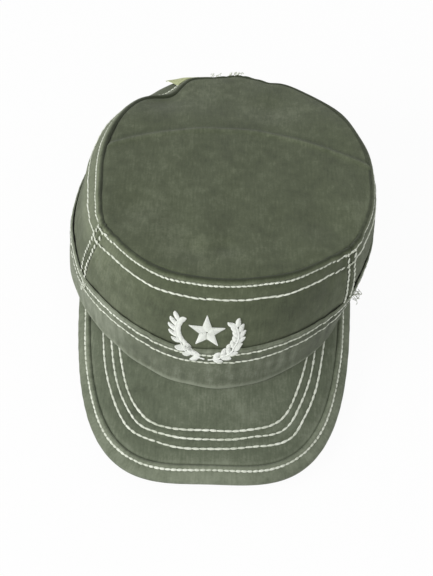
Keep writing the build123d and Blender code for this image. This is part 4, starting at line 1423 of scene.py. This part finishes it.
@dataclass
class Trim:
    """Embroidered star and laurel, labels and loose thread ends."""

    shop: Workshop
    crown: Crown
    bands: Bands
    emblem_x: float = -2.5
    emblem_z: float = 62.6
    wreath: tuple[float, float] = (16.4, 13.6)
    star: float = 10.2
    strand_step: float = 0.43
    leaf_length: float = 5.6
    leaf_half_width: float = 1.4
    label_at: float = 110.5
    size_label_at: float = 143.0

    def on_front(self, x: Array, z: Array, lift: Array) -> tuple[Array, Array]:
        """Points over the front of the cap, laid over the headband's edge too."""
        form = self.shop.form
        theta, h = form.find(Side.FRONT, x, z)
        v = (form.band_top(theta) - h) * form.slope_length(theta)
        over = smooth(v, -2.4, 0.2)
        out = over * self.bands.relief(theta, np.maximum(v, 0.6))
        out = out + (1 - over) * (self.crown.relief(theta, h) + 0.1)
        p, q = form.wall(theta, h, out + lift), form.wall(theta, h, out + lift + 1)
        return p, unit(q - p)

    def satin(self, start: Array, tip: Array, half: Callable[[Array], Array],
              slant: float) -> list[Array]:
        """Strands side by side across a leaf or an arm of the star.

        Args:
            start: foot of its middle line, across and up, in millimetres.
            tip: end of the line.
            half: half the shape's width at each share of its length.
            slant: how far the strands lean along the line.

        Returns:
            Across, up and lift at each point of each strand.
        """
        axis = tip - start
        length = float(np.hypot(*axis))
        axis = axis / length
        side = np.array([-axis[1], axis[0]])
        rows = []
        across = np.linspace(-1, 1, 6)
        for s in np.arange(0.15, length, self.strand_step):
            reach = float(half(np.array(s / length)))
            if reach < 0.12:
                continue
            place = (start + axis * s)[None] + across[:, None] * reach * (side + axis * slant)[None]
            lift = 0.12 + min(0.6, 0.42 * reach) * (1 - across**2) + 0.03 * sin(9 * s)
            rows.append(np.column_stack([place, lift]))
        return rows

    def lay_down(self, strands: list[Array]) -> list[Row]:
        """Moves flat strands onto the front of the cap."""
        flat = np.vstack(strands)
        points, lifts = self.on_front(self.emblem_x + flat[:, 0], self.emblem_z + flat[:, 1],
                                      flat[:, 2])
        cuts = np.cumsum([len(s) for s in strands])[:-1]
        return list(zip(np.split(points, cuts), np.split(lifts, cuts)))

    def emblem(self) -> None:
        """A five-pointed star between two laurel sprigs that meet below it."""
        rows: list[Array] = []
        inner = self.star * 0.40
        waist = inner * cos(pi / 5) / self.star
        centre = np.array([0.0, 1.5])
        for k in range(5):
            turn = pi / 2 + k * tau / 5
            tip = centre + self.star * np.array([cos(turn), sin(turn)])
            rows += self.satin(centre, tip, lambda s: np.where(
                s < waist, s * self.star * np.tan(pi / 5),
                inner * sin(pi / 5) * (1 - s) / (1 - waist)), 0.0)
        stems = []
        for side in (-1, 1):
            alpha = np.linspace(radians(3), radians(117), 40)
            stems.append(np.stack([side * self.wreath[0] * np.sin(alpha),
                                   -self.wreath[1] * np.cos(alpha), 0.5 + 0 * alpha], -1))
            for turn in np.linspace(radians(12), radians(112), 8):
                foot = np.array([side * self.wreath[0] * sin(turn), -self.wreath[1] * cos(turn)])
                for spread in (-0.62, 0.62):
                    heading = turn + spread
                    leaf = foot + self.leaf_length * np.array([side * cos(heading), sin(heading)])
                    rows += self.satin(foot, leaf, lambda s: (
                        self.leaf_half_width * np.sin(pi * s) ** 0.8), 0.45)
        shop = self.shop
        shop.lay("emblem_satin", self.lay_down(rows), 0.22, shop.wardrobe.satin, "embroidery",
                 nodes=["emblem"])
        shop.lay("emblem_stems", self.lay_down(stems), 0.42, shop.wardrobe.satin, "embroidery")

    def labels(self) -> None:
        """A blank woven label behind, standing off the wall, and a size label inside."""
        form, wardrobe = self.shop.form, self.shop.wardrobe
        theta = radians(self.label_at) + np.linspace(-8.5, 8.5, 16) / BACK_ARC
        d = np.linspace(1.9, 9.2, 12)
        h = 1 - d[None] / form.slope_length(theta)[:, None]
        hang = d[None] - d[0]
        out = -0.5 + 0.36 * hang + 0.5 * np.sin(np.linspace(0, 7, 16))[:, None] * hang / 7
        outer = form.wall(theta[:, None], h, out)
        obj = loft("outside_label_cloth", thicken(outer, 0.4))
        self.shop.dress(obj, wardrobe.label, "woven_label", nodes=["outside_label"])
        theta = radians(self.size_label_at) + np.linspace(-15, 15, 16) / BACK_ARC
        h = np.linspace(0.03, 0.33, 8)[None] + 0 * theta[:, None]
        outer = form.wall(theta[:, None], h, -SWEAT_INSET - SWEAT_PLY - 0.5)
        obj = loft("size_label_cloth", thicken(outer, 0.4))
        self.shop.dress(obj, wardrobe.size_label, "size_label", nodes=["size_label"])

    def loose_ends(self) -> None:
        """Frayed thread at the headband's sides and at the crown's back."""
        form = self.shop.form
        rng = np.random.RandomState(77)
        rows: list[Row] = []
        for angle, v0, count, size in TUFTS:
            for _ in range(count):
                t = np.linspace(0, 1, 12)
                run = rng.uniform(-3, 3) + t * rng.uniform(-2, 2) * size / 2
                theta = radians(angle) + run / ARC
                v = v0 + rng.uniform(-2, 2) + rng.uniform(-0.5, 0.9) * size * t
                out = 0.1 + size * rng.uniform(0.5, 1.0) * np.sin(pi * t * rng.uniform(0.5, 0.95))
                curl = rng.uniform(0.3, 0.9) * np.sin(t * rng.uniform(5, 11))
                h = form.band_top(theta) - (v + curl) / form.slope_length(theta)
                h = np.minimum(h, 0.992)
                p = form.wall(theta + curl / ARC, h, out)
                rows.append((p, unit(p * [1, 1, 0])))
        shop = self.shop
        shop.lay("loose_thread_ends", rows, 0.16, shop.wardrobe.thread, "cream_thread")

    def make(self) -> None:
        """All the trim."""
        self.emblem()
        self.labels()
        self.loose_ends()


@dataclass
class Closure:
    """Bound arch, sliding strap, cam buckle and the loop that holds the buckle."""

    shop: Workshop
    strap_radius: float = 70.5
    strap_middle: float = 14.0
    strap_from: float = -34.0
    strap_to: float = 50.0
    strap_width: float = 20.0
    loop_to: float = -41.0
    loop_width: float = 18.0
    loop_thick: float = 1.15
    tail_radius: float = 75.725
    bar: tuple[float, float] = (-13.2, 3.0)
    buckle_at: float = -10.0

    def ring_point(self, radius: Array, angle: Array, z: Array) -> Array:
        """Points round the back of the head; angles in degrees from straight back."""
        form = self.shop.form
        a = np.radians(angle)
        y = form.half_length - form.end_radius + radius * np.cos(a)
        return np.stack(np.broadcast_arrays(radius * np.sin(a), y, z), -1)

    def strip(self, name: str, angles: Span, radius: float, section: Array,
              count: int) -> bpy.types.Object:
        """Upright strip round the back of the head."""
        angle = np.linspace(*angles, count)
        path = self.ring_point(radius, angle, self.strap_middle)
        normal = self.ring_point(radius + 1, angle, self.strap_middle) - path
        up = np.tile([0.0, 0.0, 1.0], (count, 1))
        return loft(name, sweep(path, up, normal, section))

    def arch(self) -> None:
        """Cloth folded over the arched opening's edge."""
        form, wardrobe = self.shop.form, self.shop.wardrobe
        edge = form.arch_half_width - 0.9
        x = np.linspace(-edge, edge, 90)
        crown = form.arch_z(x, 0.9)
        sides = np.linspace(0.9, crown[0], 14)[:-1]
        line = np.concatenate([np.stack([-edge + 0 * sides, sides], -1), np.stack([x, crown], -1),
                               np.stack([edge + 0 * sides, sides[::-1]], -1)])
        run = np.concatenate([[0], np.cumsum(np.hypot(*np.diff(line, axis=0).T))])
        at = np.linspace(0, run[-1], 150)
        line = np.stack([np.interp(at, run, line[:, k]) for k in (0, 1)], -1)
        theta, h = form.find(Side.BACK, line[:, 0], line[:, 1], -1.0)
        path = form.wall(theta, h, -1.0)
        normal = unit(form.wall(theta, h, 0.5) - path)
        across = unit(np.cross(unit(np.gradient(path, axis=0)), normal))
        a = (np.arange(16) + 0.5) * tau / 16
        section = np.stack([1.55 * np.sign(np.cos(a)) * np.abs(np.cos(a)) ** 0.7,
                            2.15 * np.sign(np.sin(a)) * np.abs(np.sin(a)) ** 0.7], -1)
        wear = np.where(np.abs(section[:, 0]) > 1.0, 0.35, 0.1)[None]
        obj = loft("arch_binding_cloth", sweep(path, across, normal, section), wear=wear)
        self.shop.dress(obj, wardrobe.band, "band_twill", nodes=["arch_binding"])

    def strap(self) -> None:
        """The strap's cloth."""
        shop = self.shop
        section = round_strip(self.strap_width, 1.4)
        obj = self.strip("adjuster_strap_cloth", (self.strap_from, self.strap_to),
                         self.strap_radius, section, 90)
        shop.dress(obj, shop.wardrobe.band, "band_twill", Body.STRAP, ["adjuster_strap"])

    def loop(self) -> None:
        """The loop: a tail sewn on the headband and an eye round the buckle's bar."""
        shop = self.shop
        turn = radians(self.buckle_at)
        seat = self.ring_point(self.strap_radius, self.buckle_at, self.strap_middle)
        right = np.array([cos(turn), -sin(turn), 0.0])
        out = np.array([sin(turn), cos(turn), 0.0])
        bar = seat + right * self.bar[0] + out * self.bar[1]
        eye = 1.25 + self.loop_thick / 2
        start = np.arcsin(1.05 / eye)
        turns = np.linspace(pi - start, -pi + 0.75, 26)
        ring = bar + eye * (np.cos(turns)[:, None] * right + np.sin(turns)[:, None] * out)
        centre = shop.form.half_length - shop.form.end_radius
        bar_angle = degrees(np.arctan2(bar[0], bar[1] - centre))
        tail = self.ring_point(self.tail_radius, np.linspace(self.loop_to, bar_angle - 1.7, 30),
                               self.strap_middle)
        path = np.concatenate([tail, ring])
        along = unit(np.gradient(path, axis=0))
        normal = np.stack([-along[:, 1], along[:, 0], 0 * along[:, 0]], -1)
        up = np.tile([0.0, 0.0, 1.0], (len(path), 1))
        section = round_strip(self.loop_width, self.loop_thick)
        obj = loft("buckle_loop_cloth", sweep(path, up, normal, section))
        shop.dress(obj, shop.wardrobe.band, "band_twill", nodes=["buckle_loop"])
        rows = []
        for angle in (self.loop_to + 3.6, self.loop_to + 11.6):
            z = np.linspace(-7.6, 7.6, 60)
            zigzag = 0.62 * np.where(np.arange(60) % 2, 1, -1)
            p = self.ring_point(self.tail_radius + 0.75, angle + zigzag, self.strap_middle + z)
            rows.append((p, unit(self.ring_point(1.0, angle + zigzag, 0.0) * [1, 1, 0])))
        shop.lay("loop_bartack_threads", rows, 0.17, shop.wardrobe.thread, "cream_thread",
                 nodes=["loop_bartacks"])

    def metal(self) -> None:
        """The buckle's own solids, in brass."""
        for node in ("buckle_frame", "buckle_pin", "buckle_lever"):
            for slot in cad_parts[node].material_slots:
                slot.material = self.shop.wardrobe.brass

    def make(self) -> None:
        """The whole closure."""
        self.arch()
        self.strap()
        self.loop()
        self.metal()


@dataclass
class Studio:
    """White floor and sky, a key lamp on the wearer's right, a fill lamp and the camera."""

    key: float = 26.0
    fill: float = 4.5
    sky: float = 0.56
    floor_z: float = -0.0005
    floor_half: float = 4.0
    glow: float = 0.95
    lens: float = 62.398
    place: tuple[float, float, float] = (0.003617, -0.35449, 0.49380)
    azimuth: float = 0.3531
    elevation: float = 56.1101
    roll: float = 1.1874

    def seen_directly(self, g: Graph) -> Value:
        """1 where the camera, a mirror or glass looks straight at a surface."""
        path = g.node("LightPath")
        return (path.out("Is Camera Ray") + path.out("Is Glossy Ray")
                + path.out("Is Transmission Ray")).limit()

    def floor(self) -> None:
        """A floor that shows white and keeps the object's shadow."""
        mesh = bpy.data.meshes.new("studio_floor")
        corners = ((-1, -1), (1, -1), (1, 1), (-1, 1))
        mesh.from_pydata([(x * self.floor_half, y * self.floor_half, self.floor_z)
                          for x, y in corners], [], [(0, 1, 2, 3)])
        obj = in_scene("studio_floor", mesh)
        material = bpy.data.materials.new("studio_white")
        g = emptied(material)
        matt = g.node("BsdfDiffuse", {}, {"Color": (0.86, 0.86, 0.86, 1.0)})
        glow = g.node("Emission", {}, {"Color": (1.0, 1.0, 1.0, 1.0), "Strength": 1.0})
        shown = g.node("MixShader", {}, {0: self.seen_directly(g) * self.glow, 1: matt, 2: glow})
        g.node("OutputMaterial", {}, {"Surface": shown})
        mesh.materials.append(material)

    def world(self) -> None:
        """Even light from all round that shows white."""
        world = bpy.data.worlds.new("studio_sky")
        bpy.context.scene.world = world
        g = emptied(world)
        strength = self.seen_directly(g) * (1.0 - self.sky) + self.sky
        light = g.node("Background", {}, {"Color": (1.0, 1.0, 1.0, 1.0), "Strength": strength})
        g.node("OutputWorld", {}, {"Surface": light})

    def lamp(self, name: str, place: tuple[float, float, float], power: float, size: float) -> None:
        """A square soft lamp aimed at the cap."""
        data = bpy.data.lights.new(name, "AREA")
        data.energy, data.size = power, size
        obj = in_scene(name, data)
        aim = np.array([0.0, 0.0, 0.05]) - np.array(place)
        obj.matrix_world = self.pose(place, tuple(np.cross(aim, (0.0, 0.0, 1.0))), tuple(-aim))

    def pose(self, place: Sequence[float], right: Sequence[float], back: Sequence[float]) -> Matrix:
        """Matrix of a lamp or camera from its right-hand and backward directions."""
        x, z = unit(np.array(right)), unit(np.array(back))
        axes = np.stack([x, np.cross(z, x), z, np.array(place)], -1)
        return Matrix([*axes.tolist(), [0, 0, 0, 1]])

    def camera(self) -> None:
        """The camera, in front of the cap and above it."""
        data = bpy.data.cameras.new("studio_camera")
        data.lens, data.sensor_width, data.clip_start = self.lens, 36.0, 0.01
        obj = in_scene("studio_camera", data)
        turn, tilt, roll = (radians(a) for a in (self.azimuth, self.elevation, self.roll))
        back = np.array([sin(turn) * cos(tilt), -cos(turn) * cos(tilt), sin(tilt)])
        level = np.array([cos(turn), sin(turn), 0.0])
        right = level * cos(roll) + np.cross(back, level) * sin(roll)
        obj.matrix_world = self.pose(self.place, tuple(right), tuple(back))
        bpy.context.scene.camera = obj

    def make(self) -> None:
        """The whole studio."""
        bpy.context.scene.view_settings.view_transform = "Standard"
        self.floor()
        self.world()
        self.lamp("key_lamp", (-1.6, -0.85, 1.1), self.key, 0.9)
        self.lamp("fill_lamp", (0.6, -1.2, 1.6), self.fill, 1.4)
        self.camera()


def main() -> None:
    """Builds the cap piece by piece, then the studio."""
    logging.basicConfig(level=logging.INFO, format="%(name)s: %(message)s")
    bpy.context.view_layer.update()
    Studio().make()
    shop = Workshop(cap_form(), Wardrobe(), stitch_tree(), strand_tree())
    crown = Crown(shop)
    bands = Bands(shop, crown)
    for part in (crown, bands, Visor(shop, bands), Trim(shop, crown, bands), Closure(shop)):
        part.make()


if __name__ == "__main__":
    main()
